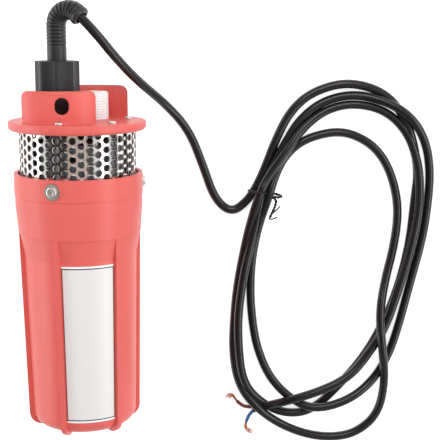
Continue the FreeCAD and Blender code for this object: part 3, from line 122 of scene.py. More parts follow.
@contextmanager
def editing(piece: Piece) -> Iterator[None]:
    """Opens a piece in edit mode with nothing selected, and closes it at the end.

    Args:
        piece: The piece to edit.

    Yields:
        Nothing, while the piece is open.
    """
    take(piece)
    bpy.ops.object.mode_set(mode="EDIT")
    bpy.ops.mesh.select_all(action="DESELECT")
    yield
    bpy.ops.object.mode_set(mode="OBJECT")


def pick_all() -> None:
    """Selects the whole of the edited mesh."""
    bpy.ops.mesh.select_all(action="SELECT")


def pick(kind: str, test: Callable) -> None:
    """Selects parts of the edited mesh.

    Args:
        kind: VERT, EDGE or FACE.
        test: Says whether a vertex, edge or face is wanted.
    """
    bpy.ops.mesh.select_mode(type=kind)
    bpy.ops.mesh.select_all(action="DESELECT")
    mesh = bmesh.from_edit_mesh(bpy.context.object.data)
    parts = {"VERT": mesh.verts, "EDGE": mesh.edges, "FACE": mesh.faces}[kind]
    for part in [part for part in parts if test(part)]:
        part.select = True
    mesh.select_flush_mode()
    bmesh.update_edit_mesh(bpy.context.object.data)


def trim(low: float, high: float) -> None:
    """Cuts the edited mesh off below one height and above another.

    Args:
        low: The lower height in millimetres.
        high: The upper height in millimetres.
    """
    for height, above in ((low, False), (high, True)):
        pick_all()
        bpy.ops.mesh.bisect(plane_co=(0, 0, height * MM), plane_no=(0, 0, 1),
                            clear_outer=above, clear_inner=not above)


def merge_and_face_out(distance: float) -> None:
    """Merges the edited mesh's doubles and turns its faces out.

    Args:
        distance: How far apart doubles may be, in millimetres.
    """
    pick_all()
    bpy.ops.mesh.remove_doubles(threshold=distance * MM)
    bpy.ops.mesh.normals_make_consistent(inside=False)


def modifier(piece: Piece, kind: str, **settings: object) -> None:
    """Adds a modifier.

    Args:
        piece: The piece to change.
        kind: The modifier's type.
        settings: Its values by name.
    """
    made = piece.modifiers.new(kind.lower(), kind)
    for name, value in settings.items():
        setattr(made, name, value)


def apply_modifiers(piece: Piece) -> None:
    """Applies a piece's modifiers in their order.

    Args:
        piece: The piece with the modifiers.
    """
    take(piece)
    for each in list(piece.modifiers):
        bpy.ops.object.modifier_apply(modifier=each.name)


def cut_out(piece: Piece, cutter: Piece) -> None:
    """Takes the cutter's shape out of a piece and removes the cutter.

    Args:
        piece: The piece to cut.
        cutter: The closed shape to take out.
    """
    modifier(piece, "BOOLEAN", operation="DIFFERENCE", object=cutter, solver="EXACT")
    apply_modifiers(piece)
    bpy.data.objects.remove(cutter)


def smooth(piece: Piece, degrees: float) -> None:
    """Shades a piece smooth, apart from edges sharper than an angle."""
    take(piece)
    bpy.ops.object.shade_smooth_by_angle(angle=math.radians(degrees))


def join(pieces: list[Piece], name: str) -> Piece:
    """Joins several pieces into one.

    Args:
        pieces: The pieces, of which the first takes up the others.
        name: The name of the whole.

    Returns:
        The whole.
    """
    deselect()
    for piece in pieces:
        piece.select_set(True)
    bpy.context.view_layer.objects.active = pieces[0]
    bpy.ops.object.join()
    return added(name)


def copies(piece: Piece, places: list[Matrix], name: str) -> Piece:
    """Copies a piece to several places and joins the copies.

    Args:
        piece: The pattern, which is removed.
        places: The places of the copies in the pump's frame.
        name: The name of the joined piece.

    Returns:
        The joined piece.
    """
    made = []
    for place in places:
        copy = piece.copy()
        copy.data = piece.data.copy()
        copy.matrix_world = place
        bpy.context.collection.objects.link(copy)
        made.append(copy)
    bpy.data.objects.remove(piece)
    bpy.context.view_layer.update()
    whole = join(made, name)
    whole.data.transform(whole.matrix_world)
    whole.matrix_world = Matrix.Identity(4)
    return whole


def outline(name: str, corners: Outline) -> Piece:
    """Lays a closed ring of edges through the corners of an outline.

    Args:
        name: The piece's name.
        corners: Each corner's radius and height in millimetres, in order.

    Returns:
        The outline, upright beside the axis.
    """
    bpy.ops.mesh.primitive_circle_add(vertices=len(corners), radius=MM, calc_uvs=False)
    piece = added(name)
    for vertex, (radius, height) in zip(piece.data.vertices, corners):
        vertex.co = (radius * MM, 0, height * MM)
    return piece


def lathe(name: str, corners: Outline, steps: int, at: Point = (0.0, 0.0, 0.0)) -> Piece:
    """Turns a closed outline round an upright axis.

    Args:
        name: The piece's name.
        corners: Each corner's radius and height in millimetres, in order.
        steps: Divisions of the full turn.
        at: Where the axis stands, in millimetres.

    Returns:
        The turned piece.
    """
    piece = outline(name, corners)
    with editing(piece):
        pick_all()
        bpy.ops.mesh.spin(steps=steps, angle=2 * math.pi, center=(0, 0, 0), axis=(0, 0, 1))
        merge_and_face_out(0.002)
    piece.data.transform(Matrix.Translation(Vector(at) * MM))
    return piece


def settle(piece: Piece) -> None:
    """Moves a piece's place into its mesh, from the pump's frame to the row's.

    Args:
        piece: The piece, which ends at the origin.
    """
    piece.data.transform(pump.place @ piece.matrix_world)
    piece.matrix_world = Matrix.Identity(4)
    piece.data.update()


# Finishes

def light(value: int) -> float:
    """Turns one part of a screen colour, 0 to 255, into linear light."""
    part = value / 255
    return part / 12.92 if part <= 0.04045 else ((part + 0.055) / 1.055) ** 2.4


def linear(colour: Colour) -> tuple[float, float, float, float]:
    """Turns a screen colour of 0 to 255 into linear light, opaque."""
    return (*(light(value) for value in colour), 1.0)


def math_node(tree: Tree, operation: str, *values: object) -> Socket:
    """Adds a Math node.

    Args:
        tree: The tree that it goes into.
        operation: What it works out.
        values: Its inputs, each a number or a socket.

    Returns:
        Its result.
    """
    node = tree.nodes.new("ShaderNodeMath")
    node.operation = operation
    for socket, value in zip(node.inputs, values):
        if isinstance(value, (int, float)):
            socket.default_value = value
        else:
            tree.links.new(value, socket)
    return node.outputs[0]


def mix_node(tree: Tree, share: Socket, *colours: object) -> Socket:
    """Adds a Mix node for two colours.

    Args:
        tree: The tree that it goes into.
        share: How much of the second colour it takes.
        colours: Two colours, each linear or a socket.

    Returns:
        The mixed colour.
    """
    mix = tree.nodes.new("ShaderNodeMix")
    mix.data_type = "RGBA"
    tree.links.new(share, mix.inputs["Factor"])
    sockets = [socket for socket in mix.inputs if socket.type == "RGBA"]
    for socket, colour in zip(sockets, colours):
        if isinstance(colour, tuple):
            socket.default_value = colour
        else:
            tree.links.new(colour, socket)
    return next(socket for socket in mix.outputs if socket.type == "RGBA")


def noise_node(tree: Tree, where: Socket, scale: float | Socket, detail: float) -> Socket:
    """Adds a Noise Texture node.

    Args:
        tree: The tree that it goes into.
        where: The coordinates that it reads.
        scale: Its waves per metre, a number or a socket.
        detail: How many finer layers it has.

    Returns:
        The noise, from 0 to 1.
    """
    noise = tree.nodes.new("ShaderNodeTexNoise")
    noise.inputs["Detail"].default_value = detail
    tree.links.new(where, noise.inputs["Vector"])
    if isinstance(scale, float):
        noise.inputs["Scale"].default_value = scale
    else:
        tree.links.new(scale, noise.inputs["Scale"])
    return noise.outputs["Fac"]


class SurfaceGrain:
    """The shared effect of slow colour change and fine grain on a moulded surface."""

    NAME = "surface_grain"
    INPUTS = {"Vector": "NodeSocketVector", "Colour": "NodeSocketColor", "Change": "NodeSocketFloat",
              "Fine": "NodeSocketFloat", "Roughness": "NodeSocketFloat"}
    OUTPUTS = {"Colour": "NodeSocketColor", "Roughness": "NodeSocketFloat", "Height": "NodeSocketFloat"}
    SLOW_SCALE = 38.0
    SLOW_DETAIL = 3.0
    FINE_DETAIL = 2.0
    ROUGHNESS_CHANGE = 0.12

    @classmethod
    def group(cls) -> bpy.types.ShaderNodeTree:
        """Builds the group once.

        Returns:
            The group.
        """
        if cls.NAME in bpy.data.node_groups:
            return bpy.data.node_groups[cls.NAME]
        group = bpy.data.node_groups.new(cls.NAME, "ShaderNodeTree")
        for way, sockets in (("INPUT", cls.INPUTS), ("OUTPUT", cls.OUTPUTS)):
            for name, kind in sockets.items():
                group.interface.new_socket(name=name, in_out=way, socket_type=kind)
        enter = group.nodes.new("NodeGroupInput").outputs
        leave = group.nodes.new("NodeGroupOutput").inputs
        slow = noise_node(group, enter["Vector"], cls.SLOW_SCALE, cls.SLOW_DETAIL)
        fine = noise_node(group, enter["Vector"], enter["Fine"], cls.FINE_DETAIL)
        centred = math_node(group, "SUBTRACT", slow, 0.5)
        lift = math_node(group, "ADD", math_node(group, "MULTIPLY", centred, enter["Change"]), 1.0)
        bright = group.nodes.new("ShaderNodeVectorMath")
        bright.operation = "SCALE"
        group.links.new(enter["Colour"], bright.inputs[0])
        group.links.new(lift, bright.inputs["Scale"])
        rough = math_node(group, "MULTIPLY_ADD", centred, cls.ROUGHNESS_CHANGE, enter["Roughness"])
        group.links.new(bright.outputs[0], leave["Colour"])
        group.links.new(rough, leave["Roughness"])
        group.links.new(fine, leave["Height"])
        return group


class Metal(Enum):
    """Whether a finish is a metal."""

    NO = 0.0
    YES = 1.0


@dataclass(frozen=True)
class Finish:
    """A surface with slow colour change and fine grain.

    Attributes:
        name: The material's name.
        colour: Its colour, 0 to 255.
        roughness: From 0, mirror, to 1, chalk.
        change: How much the colour varies.
        fine: The grain's scale, in waves per metre.
        bump: How strongly the grain stands out.
        metal: Whether it is a metal.
        specular: The specular level.
        edge: How far round its edges look, in metres.
        depth: How deep the grain is, in metres.
    """

    name: str
    colour: Colour
    roughness: float = 0.45
    change: float = 0.10
    fine: float = 2600.0
    bump: float = 0.06
    metal: Metal = Metal.NO
    specular: float = 0.5
    edge: float = 0.0
    depth: float = 0.0002

    def material(self) -> bpy.types.Material:
        """Builds the material once.

        Returns:
            The material.
        """
        title = f"{self.name}_finish"
        if title in bpy.data.materials:
            return bpy.data.materials[title]
        made = bpy.data.materials.new(title)
        made.use_nodes = True
        tree = made.node_tree
        shader = tree.nodes["Principled BSDF"]
        shader.inputs["Metallic"].default_value = self.metal.value
        shader.inputs["Specular IOR Level"].default_value = self.specular
        grain = self.grain(tree)
        tree.links.new(self.paint(tree, grain["Colour"]), shader.inputs["Base Color"])
        tree.links.new(grain["Roughness"], shader.inputs["Roughness"])
        tree.links.new(self.relief(tree, grain["Height"]), shader.inputs["Normal"])
        made.diffuse_color = linear(self.colour)
        return made

    def grain(self, tree: Tree) -> bpy.types.NodeOutputs:
        """Places the shared grain with this finish's own values.

        Args:
            tree: The material's tree.

        Returns:
            The grain's colour, roughness and height.
        """
        where = tree.nodes.new("ShaderNodeTexCoord")
        grain = tree.nodes.new("ShaderNodeGroup")
        grain.node_tree = SurfaceGrain.group()
        grain.inputs["Colour"].default_value = linear(self.colour)
        grain.inputs["Change"].default_value = self.change
        grain.inputs["Fine"].default_value = self.fine
        grain.inputs["Roughness"].default_value = self.roughness
        tree.links.new(where.outputs["Object"], grain.inputs["Vector"])
        return grain.outputs

    def paint(self, tree: Tree, colour: Socket) -> Socket:
        """Returns the colour as it is, with nothing painted over it."""
        return colour

    def relief(self, tree: Tree, height: Socket) -> Socket:
        """Turns the grain's height into a normal, over rounded edges where the finish has them.

        Args:
            tree: The material's tree.
            height: The grain's height.

        Returns:
            The normal.
        """
        bump = tree.nodes.new("ShaderNodeBump")
        bump.inputs["Strength"].default_value = self.bump
        bump.inputs["Distance"].default_value = self.depth
        tree.links.new(height, bump.inputs["Height"])
        if self.edge:
            rounding = tree.nodes.new("ShaderNodeBevel")
            rounding.samples = 8
            rounding.inputs["Radius"].default_value = self.edge
            tree.links.new(rounding.outputs["Normal"], bump.inputs["Normal"])
        return bump.outputs["Normal"]

    def put_on(self, piece: Piece) -> None:
        """Gives a piece this finish alone."""
        piece.data.materials.clear()
        piece.data.materials.append(self.material())


@dataclass(frozen=True)
class LabelFinish(Finish):
    """The blank off-white plate with thin dark lines near its edges.

    Attributes:
        line: The lines' colour.
        margin: The colour of the strips outside the end lines.
        side_band: How far the side lines are from the edges, in plate widths.
        side_stroke: How wide the side lines are.
        end_band: How far the end lines are from the ends.
        end_stroke: How wide the end lines are.
        tall_ratio: The plate's height in plate widths.
    """

    line: Colour = (70, 68, 66)
    margin: Colour = (252, 252, 252)
    side_band: float = 0.006
    side_stroke: float = 0.020
    end_band: float = 0.052
    end_stroke: float = 0.024
    tall_ratio: float = 3.3

    def paint(self, tree: Tree, colour: Socket) -> Socket:
        """Draws a frame of lines on the plate's own UV map.

        Args:
            tree: The material's tree.
            colour: The plate's colour.

        Returns:
            The painted colour.
        """
        where = tree.nodes.new("ShaderNodeTexCoord")
        parts = tree.nodes.new("ShaderNodeSeparateXYZ")
        tree.links.new(where.outputs["UV"], parts.inputs[0])
        from_side = self.from_edge(tree, parts.outputs["X"], 1.0)
        from_end = self.from_edge(tree, parts.outputs["Y"], self.tall_ratio)
        inside = math_node(tree, "GREATER_THAN", from_end, self.end_band)
        side_stripe = self.stripe(tree, from_side, self.side_band, self.side_stroke)
        side_line = math_node(tree, "MULTIPLY", inside, side_stripe)
        end_line = self.stripe(tree, from_end, self.end_band, self.end_stroke)
        line = math_node(tree, "MAXIMUM", side_line, end_line)
        plate = mix_node(tree, inside, linear(self.margin), colour)
        return mix_node(tree, line, plate, linear(self.line))

    @staticmethod
    def from_edge(tree: Tree, part: Socket, ratio: float) -> Socket:
        """Returns the distance from the nearer of two opposite edges, in plate widths."""
        off_middle = math_node(tree, "ABSOLUTE", math_node(tree, "SUBTRACT", part, 0.5))
        return math_node(tree, "MULTIPLY", math_node(tree, "SUBTRACT", 0.5, off_middle), ratio)

    @staticmethod
    def stripe(tree: Tree, part: Socket, at: float, wide: float) -> Socket:
        """Returns 1 within a stripe at a distance, otherwise 0."""
        off = math_node(tree, "ABSOLUTE", math_node(tree, "SUBTRACT", part, at))
        return math_node(tree, "LESS_THAN", off, wide / 2)


def stand_for(piece: Piece, finish: Finish, slot: str, *nodes: str) -> Piece:
    """Gives a finished piece its surface and puts it in place of nodes.

    Args:
        piece: The piece in the row's frame.
        finish: Its finish.
        slot: The record's material slot; not used.
        nodes: The nodes that it stands for.

    Returns:
        The piece.
    """
    finish.put_on(piece)
    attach(piece, "pump")
    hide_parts(*nodes)
    return piece


RED = Finish("red_plastic", (230, 102, 95), 0.40, 0.04, 2200.0, 0.04, specular=0.45, edge=0.0003)
CAP_RED = Finish("cap_plastic", (230, 102, 95), 0.40, 0.04, 2200.0, 0.04, specular=0.45, edge=0.0026)
LABEL = LabelFinish("label_plate", (232, 230, 228), 0.35, 0.02, 900.0, 0.02)
STRAINER_STEEL = Finish("strainer_steel", (228, 227, 224), 0.07, 0.03, 1400.0, 0.01, Metal.YES)
# The strainer's own steel made darker for its rims and hole walls: painted shade, not a different metal.
SHADED_RIM_STEEL = Finish("strainer_rim_painted_shade", (150, 148, 146), 0.32, 0.05, 1400.0, 0.02, Metal.YES)
SCREW_STEEL = Finish("screw_steel", (226, 224, 220), 0.42, 0.08, 1800.0, 0.04, Metal.YES)
KNOB = Finish("knob_plastic", (40, 40, 43), 0.50, 0.08, 2400.0, 0.08, specular=0.35)
BOOT_RUBBER = Finish("boot_rubber", (42, 42, 45), 0.42, 0.10, 3200.0, 0.12)
JACKET = Finish("cord_jacket", (24, 24, 26), 0.26, 0.08, 1500.0, 0.10)
TIE = Finish("tie_wire", (26, 26, 27), 0.4, 0.1)
BROWN = Finish("brown_insulation", (122, 52, 38), 0.4, 0.08)
BLUE = Finish("blue_insulation", (44, 98, 160), 0.4, 0.08)
COPPER = Finish("bare_copper", (214, 140, 104), 0.28, 0.15, 4000.0, 0.05, Metal.YES)
WHITE = Finish("white_plastic", (246, 252, 252), 0.42, 0.01, 2600.0, 0.03)
BLACK_PLASTIC = Finish("black_plastic", (30, 30, 32), 0.5, 0.08)
INNER_PLASTIC = Finish("inner_plastic", (150, 150, 153), 0.5, 0.08)
RUBBER = Finish("black_rubber", (30, 30, 31), 0.7, 0.12, 3600.0, 0.15)
DARK_STEEL = Finish("dark_steel", (128, 128, 130), 0.34, 0.12, 2400.0, 0.05, Metal.YES)
CAST = Finish("cast_aluminium", (190, 190, 192), 0.5, 0.12, 3000.0, 0.2, Metal.YES)
FERRITE = Finish("ferrite", (46, 46, 48), 0.65, 0.15, 3600.0, 0.15)

CARRIED_OVER: dict[Finish, tuple[str, ...]] = {
    CAP_RED: ("top_cap",),
    KNOB: ("gland_body", "gland_locknut"),
    JACKET: ("cord_in_gland", "motor_leads"),
    SCREW_STEEL: ("head_bolts", "motor_screws", "piston_screws", "housing_washers"),
    BLACK_PLASTIC: ("motor_rear_cover", "motor_front_cover", "brush_holder"),
    INNER_PLASTIC: ("pump_base", "valve_plate", "pump_head"),
    RUBBER: ("gland_seal", "outlet_seal", "housing_seal", "diaphragm", "inlet_valves", "outlet_valve",
             "motor_pad", "shaft_seal"),
    WHITE: ("piston_caps",),
    DARK_STEEL: ("motor_can", "motor_shaft", "rotor_core", "front_bearing", "rear_bearing",
                 "drive_bearing_inner", "drive_bearing_outer", "drive_bearing_cage"),
    CAST: ("wobble_hub", "wobble_plate"),
    COPPER: ("windings", "commutator"),
    FERRITE: ("magnets", "brushes"),
}


# Studio

@dataclass(frozen=True)
class Lamp:
    """One area lamp.

    Attributes:
        name: Its name.
        at: Its place in metres.
        towards: The point that it faces.
        size: Its two sides in metres.
        power: Its power in watts.
    """

    name: str
    at: Point
    towards: Point
    size: tuple[float, float]
    power: float

    def build(self) -> None:
        """Adds the lamp and turns it to the point that it faces."""
        data = bpy.data.lights.new(self.name, "AREA")
        data.shape = "RECTANGLE"
        data.size, data.size_y = self.size
        data.energy = self.power
        lamp = bpy.data.objects.new(self.name, data)
        bpy.context.collection.objects.link(lamp)
        aim = (Vector(self.towards) - Vector(self.at)).to_track_quat("-Z", "Y")
        lamp.matrix_world = Matrix.Translation(Vector(self.at)) @ aim.to_matrix().to_4x4()


@dataclass
class Studio:
    """The pale floor, the camera at the photograph's place, and plain soft light.

    Attributes:
        camera_at: The camera's place in the pump's frame, in millimetres.
        look_down: How far it looks towards the canister's foot, in degrees.
        roll: How far it is rolled, in degrees.
        focal_pixels: Its focal length in pixels of the photograph.
        frame_pixels: The photograph's side in pixels.
        sensor: The sensor's side in millimetres.
        floor_size: The floor's side in metres.
        floor_drop: How far the floor lies under the ground, in metres.
        floor_grey: The floor's own colour, linear.
        floor_emission: What the floor adds for the camera and for gloss.
        ambient: How strongly the world lights.
        bands: What polished metal sees round the pump, by angle from above in degrees.
        lamps: Two broad lamps beside the pump and a small one over its cap.
    """

    camera_at: Point = (100.0, -746.5, 290.06)
    look_down: float = 10.757
    roll: float = 0.175
    focal_pixels: float = 1066.75
    frame_pixels: int = 440
    sensor: float = 36.0
    floor_size: float = 6.0
    floor_drop: float = 0.0001
    floor_grey: float = 0.78
    floor_emission: float = 0.72
    ambient: float = 0.60
    bands: tuple[tuple[float, Colour], ...] = (
        (-180.0, (120, 120, 120)), (-60.0, (235, 235, 235)), (-57.0, (64, 62, 62)), (-15.0, (52, 50, 50)),
        (-12.0, (196, 178, 168)), (25.0, (196, 176, 166)), (27.0, (60, 58, 58)), (37.0, (60, 58, 58)),
        (39.0, (235, 235, 235)), (75.0, (235, 235, 235)), (77.0, (84, 82, 82)), (103.0, (84, 82, 82)),
        (106.0, (150, 150, 150)))
    lamps: tuple[Lamp, ...] = (
        Lamp("left_lamp", (-0.88, 0.05, 0.24), (-0.02, 0.05, 0.04), (1.2, 0.26), 3.6),
        Lamp("right_lamp", (0.84, 0.0, 0.545), (0.02, 0.0, 0.03), (1.2, 0.28), 4.0),
        Lamp("top_lamp", (0.10, 0.62, 0.82), (0.05, 0.0, 0.0), (0.6, 0.4), 3.2))

    def build(self) -> None:
        """Builds the camera, the floor, the world and the lamps."""
        self.camera()
        self.floor()
        self.world()
        for lamp in self.lamps:
            lamp.build()
        bpy.context.scene.view_settings.view_transform = "Standard"

    def camera(self) -> None:
        """Places the camera as it was fitted to the pump's circles."""
        data = bpy.data.cameras.new("camera")
        data.sensor_width = self.sensor
        data.lens = self.sensor * self.focal_pixels / self.frame_pixels
        data.clip_start, data.clip_end = 0.01, 20.0
        camera = bpy.data.objects.new("camera", data)
        bpy.context.collection.objects.link(camera)
        ahead = math.radians(90 - self.look_down)
        turn = Matrix.Rotation(ahead, 4, "X") @ Matrix.Rotation(math.radians(self.roll), 4, "Z")
        eye = Vector([value * MM for value in self.camera_at])
        camera.matrix_world = pump.place @ Matrix.Translation(eye) @ turn
        bpy.context.scene.camera = camera

    @staticmethod
    def seen(tree: Tree) -> Socket:
        """Returns 1 for rays from the camera and from gloss, otherwise 0."""
        rays = tree.nodes.new("ShaderNodeLightPath").outputs
        return math_node(tree, "MAXIMUM", rays["Is Camera Ray"], rays["Is Glossy Ray"])

    def floor(self) -> None:
        """Adds the floor, white to the camera, which keeps a faint shadow."""
        bpy.ops.mesh.primitive_plane_add(size=self.floor_size, location=(0, 0, -self.floor_drop))
        floor = added("floor")
        made = bpy.data.materials.new("floor_white")
        made.use_nodes = True
        tree = made.node_tree
        tree.nodes.clear()
        plain, glow = tree.nodes.new("ShaderNodeBsdfDiffuse"), tree.nodes.new("ShaderNodeEmission")
        both, out = tree.nodes.new("ShaderNodeAddShader"), tree.nodes.new("ShaderNodeOutputMaterial")
        plain.inputs["Color"].default_value = (self.floor_grey, self.floor_grey, self.floor_grey, 1)
        strength = math_node(tree, "MULTIPLY", self.seen(tree), self.floor_emission)
        tree.links.new(strength, glow.inputs["Strength"])
        tree.links.new(plain.outputs[0], both.inputs[0])
        tree.links.new(glow.outputs[0], both.inputs[1])
        tree.links.new(both.outputs[0], out.inputs["Surface"])
        floor.data.materials.append(made)

    def world(self) -> None:
        """Lights the scene evenly, and shows white to the camera and bands to gloss."""
        world = bpy.data.worlds.new("studio")
        bpy.context.scene.world = world
        world.use_nodes = True
        tree = world.node_tree
        back = tree.nodes["Background"]
        level = math_node(tree, "MULTIPLY_ADD", self.seen(tree), 1.0 - self.ambient, self.ambient)
        tree.links.new(level, back.inputs["Strength"])
        rays = tree.nodes.new("ShaderNodeLightPath").outputs
        colour = mix_node(tree, rays["Is Glossy Ray"], (1, 1, 1, 1), self.reflections(tree))
        tree.links.new(colour, back.inputs["Color"])

    def reflections(self, tree: Tree) -> Socket:
        """Lays out what polished metal sees: bands of studio screens along the pump.

        Args:
            tree: The world's tree.

        Returns:
            The colour for a direction.
        """
        where, parts = tree.nodes.new("ShaderNodeTexCoord"), tree.nodes.new("ShaderNodeSeparateXYZ")
        tree.links.new(where.outputs["Generated"], parts.inputs[0])
        angle = math_node(tree, "ARCTAN2", parts.outputs["X"], parts.outputs["Z"])
        share = math_node(tree, "MULTIPLY_ADD", angle, 1 / (2 * math.pi), 0.5)
        ramp = tree.nodes.new("ShaderNodeValToRGB")
        stops = ramp.color_ramp.elements
        for stop, (degrees, colour) in zip((stops[0], stops[1]), self.bands[:2]):
            stop.position = degrees / 360 + 0.5
            stop.color = linear(colour)
        for degrees, colour in self.bands[2:]:
            stops.new(degrees / 360 + 0.5).color = linear(colour)
        tree.links.new(share, ramp.inputs["Fac"])
        return ramp.outputs["Color"]


# Cord, coil and what is on it

@dataclass(frozen=True)
class Bend:
    """Where the boot and the cord in it bend over, in the pump's frame.

    Attributes:
        x: Where the boot's axis stands.
        y: Where the boot's axis stands, from the label's side.
        level: The height at which the bend starts.
        radius: The bend's radius.
        degrees: How far it bends over.
        turn: How far its plane is turned to the label's side, in degrees.
    """

    x: float = -12.5
    y: float = -5.0
    level: float = 284.6
    radius: float = 10.1
    degrees: float = 132.0
    turn: float = -22.0


BEND = Bend()


def spline(name: str, points: list[Vector], radius: float, steps: int, sides: int) -> Piece:
    """Makes a round tube on one smooth NURBS spline.

    Args:
        name: The piece's name.
        points: The spline's control points in metres.
        radius: The tube's radius in millimetres.
        steps: Divisions between two points.
        sides: The bevel's resolution.

    Returns:
        The curve object.
    """
    data = bpy.data.curves.new(name, "CURVE")
    data.dimensions = "3D"
    data.resolution_u = steps
    data.bevel_depth = radius * MM
    data.bevel_resolution = sides
    data.use_fill_caps = True
    line = data.splines.new("NURBS")
    line.points.add(len(points) - 1)
    for spot, point in zip(line.points, points):
        spot.co = (*point, 1.0)
    line.order_u = 3
    line.use_endpoint_u = True
    curve = bpy.data.objects.new(name, data)
    bpy.context.collection.objects.link(curve)
    return curve


def as_mesh(curves: list[Piece], name: str) -> Piece:
    """Turns curves into one smooth mesh piece.

    Args:
        curves: The curves.
        name: The piece's name.

    Returns:
        The piece.
    """
    for curve in curves:
        take(curve)
        bpy.ops.object.convert(target="MESH")
    made = join(curves, name)
    for polygon in made.data.polygons:
        polygon.use_smooth = True
    return made


@dataclass
class Cord:
    """The two-core cord: its free stretch, its coil, and where it leaves the boot.

    Attributes:
        radius: The jacket's radius.
        length: The cord's length in metres, from the boot to the open end; not used.
        seat: How far past the bend the spline starts.
        exit_past: How far past the bend the cord leaves the boot; not used.
        free: The free stretch's points in the row frame, in millimetres.
        turns: The coil's turns: across, along, and how many cords deep each point lies over the ground.
    """

    radius: float = 3.3
    length: float = 2.47
    seat: float = 1.5
    exit_past: float = 4.0
    free: tuple[Point, ...] = (
        (14.9, 129.6, 61.5), (28.0, 111.8, 50.5), (42.8, 95.0, 33.5), (60.5, 78.9, 13.0), (77.0, 59.4, 3.3),
        (87.5, 32.4, 3.3), (95.8, 8.4, 3.3), (108.5, -2.6, 3.3), (121.0, 7.2, 3.3))
    turns: tuple[tuple[Point, ...], ...] = (
        ((128, 19, 0), (134, 33, 0), (141, 52, 0), (151, 73, 0), (167, 88, 0), (194, 96, 0), (222, 88, 0),
         (237, 69, 0.3), (243, 52, 0.4), (248, 29, 0), (246, 10, 0), (243, -27, 0), (234, -64, 0),
         (223, -91, 0), (210, -114, 0), (193, -135, 0), (171, -157, 0), (149, -159, 0), (129, -148, 0),
         (117, -130, 0.9), (114, -100, 1), (114, -76, 1), (119, -42, 1), (126.5, -14, 0.2)),
        ((130, 8, 1), (136, 28, 0.2), (147.5, 48.5, 0), (158, 67, 0), (175.5, 81.5, 0), (199, 87, 0),
         (224, 81, 0.6), (242, 69, 1), (253, 51, 0.3), (257, 29, 0), (256, 6, 0), (253, -20, 0),
         (244, -57, 0), (237, -87, 0), (230, -111, 0), (219, -131, 0), (201, -145, 1), (176, -153, 1.2),
         (158, -148, 1), (139, -131, 0.3), (129, -108, 0), (125, -87, 0), (123, -63, 0), (124, -37, 0),
         (129, -11, 0.3)),
        ((136, 10, 1), (142, 29, 0.2), (150, 43, 0), (164, 54, 0), (189, 60, 0), (210, 52, 0), (223, 38, 0),
         (231, 18, 0), (234, -3, 0), (231, -29, 0), (225, -53, 0.2), (220, -78, 1.6), (223, -105, 1.9),
         (227, -131, 0.4), (223, -158, 0), (208, -173, 0), (190, -178, 0), (168, -176, 0), (144, -166, 0.1),
         (125, -149, 1), (114, -134, 0), (110, -109, 0), (111, -83, 0), (113, -60, 0), (117, -37, 0),
         (122, -12, 0.3)),
        ((129, 12, 1.6), (135, 25, 1), (149.5, 45.5, 1), (161, 62, 0.4), (178.5, 75.5, 0), (199, 80, 0),
         (222, 75, 0), (238, 60, 0.3), (246, 40, 0.6), (249, 20, 0.6), (248, -2, 1), (242, -33, 1),
         (234, -62, 1), (225, -90, 1), (212, -111, 1), (198, -127, 1.6), (176, -137, 2.0),
         (152, -145, 1.8), (137, -152, 0.3), (126, -155, 0)))

    def mouth(self, further: float) -> Vector:
        """Finds the point some way along the cord from the end of the boot's bend.

        Args:
            further: How far past the bend, in millimetres.

        Returns:
            The point in the row frame.
        """
        bend = math.radians(BEND.degrees)
        out = (1 - math.cos(bend)) * BEND.radius + math.sin(bend) * further
        z = BEND.level + math.sin(bend) * BEND.radius + math.cos(bend) * further
        turn = math.radians(BEND.turn)
        return pump.point(BEND.x + out * math.cos(turn), BEND.y + out * math.sin(turn), z)

    def points(self) -> list[Vector]:
        """Collects the route's points.

        Returns:
            The points in metres, from the boot to the open end.
        """
        route = [self.mouth(self.seat)]
        route += [Vector(point) * MM for point in self.free]
        for turn in self.turns:
            for x, y, layer in turn:
                route.append(Vector((x, y, self.radius * (1 + 2 * layer))) * MM)
        return route

    def build(self, with_pieces: list[Piece]) -> Piece:
        """Args:
            with_pieces: The tie and the wires' pieces; not used.

        Returns:
            The cord.
        """
        cord = spline("supply_cord", self.points(), self.radius, 8, 4)
        stand_for(cord, JACKET, "cord_jacket", "cord", "cord_coil")
        return cord


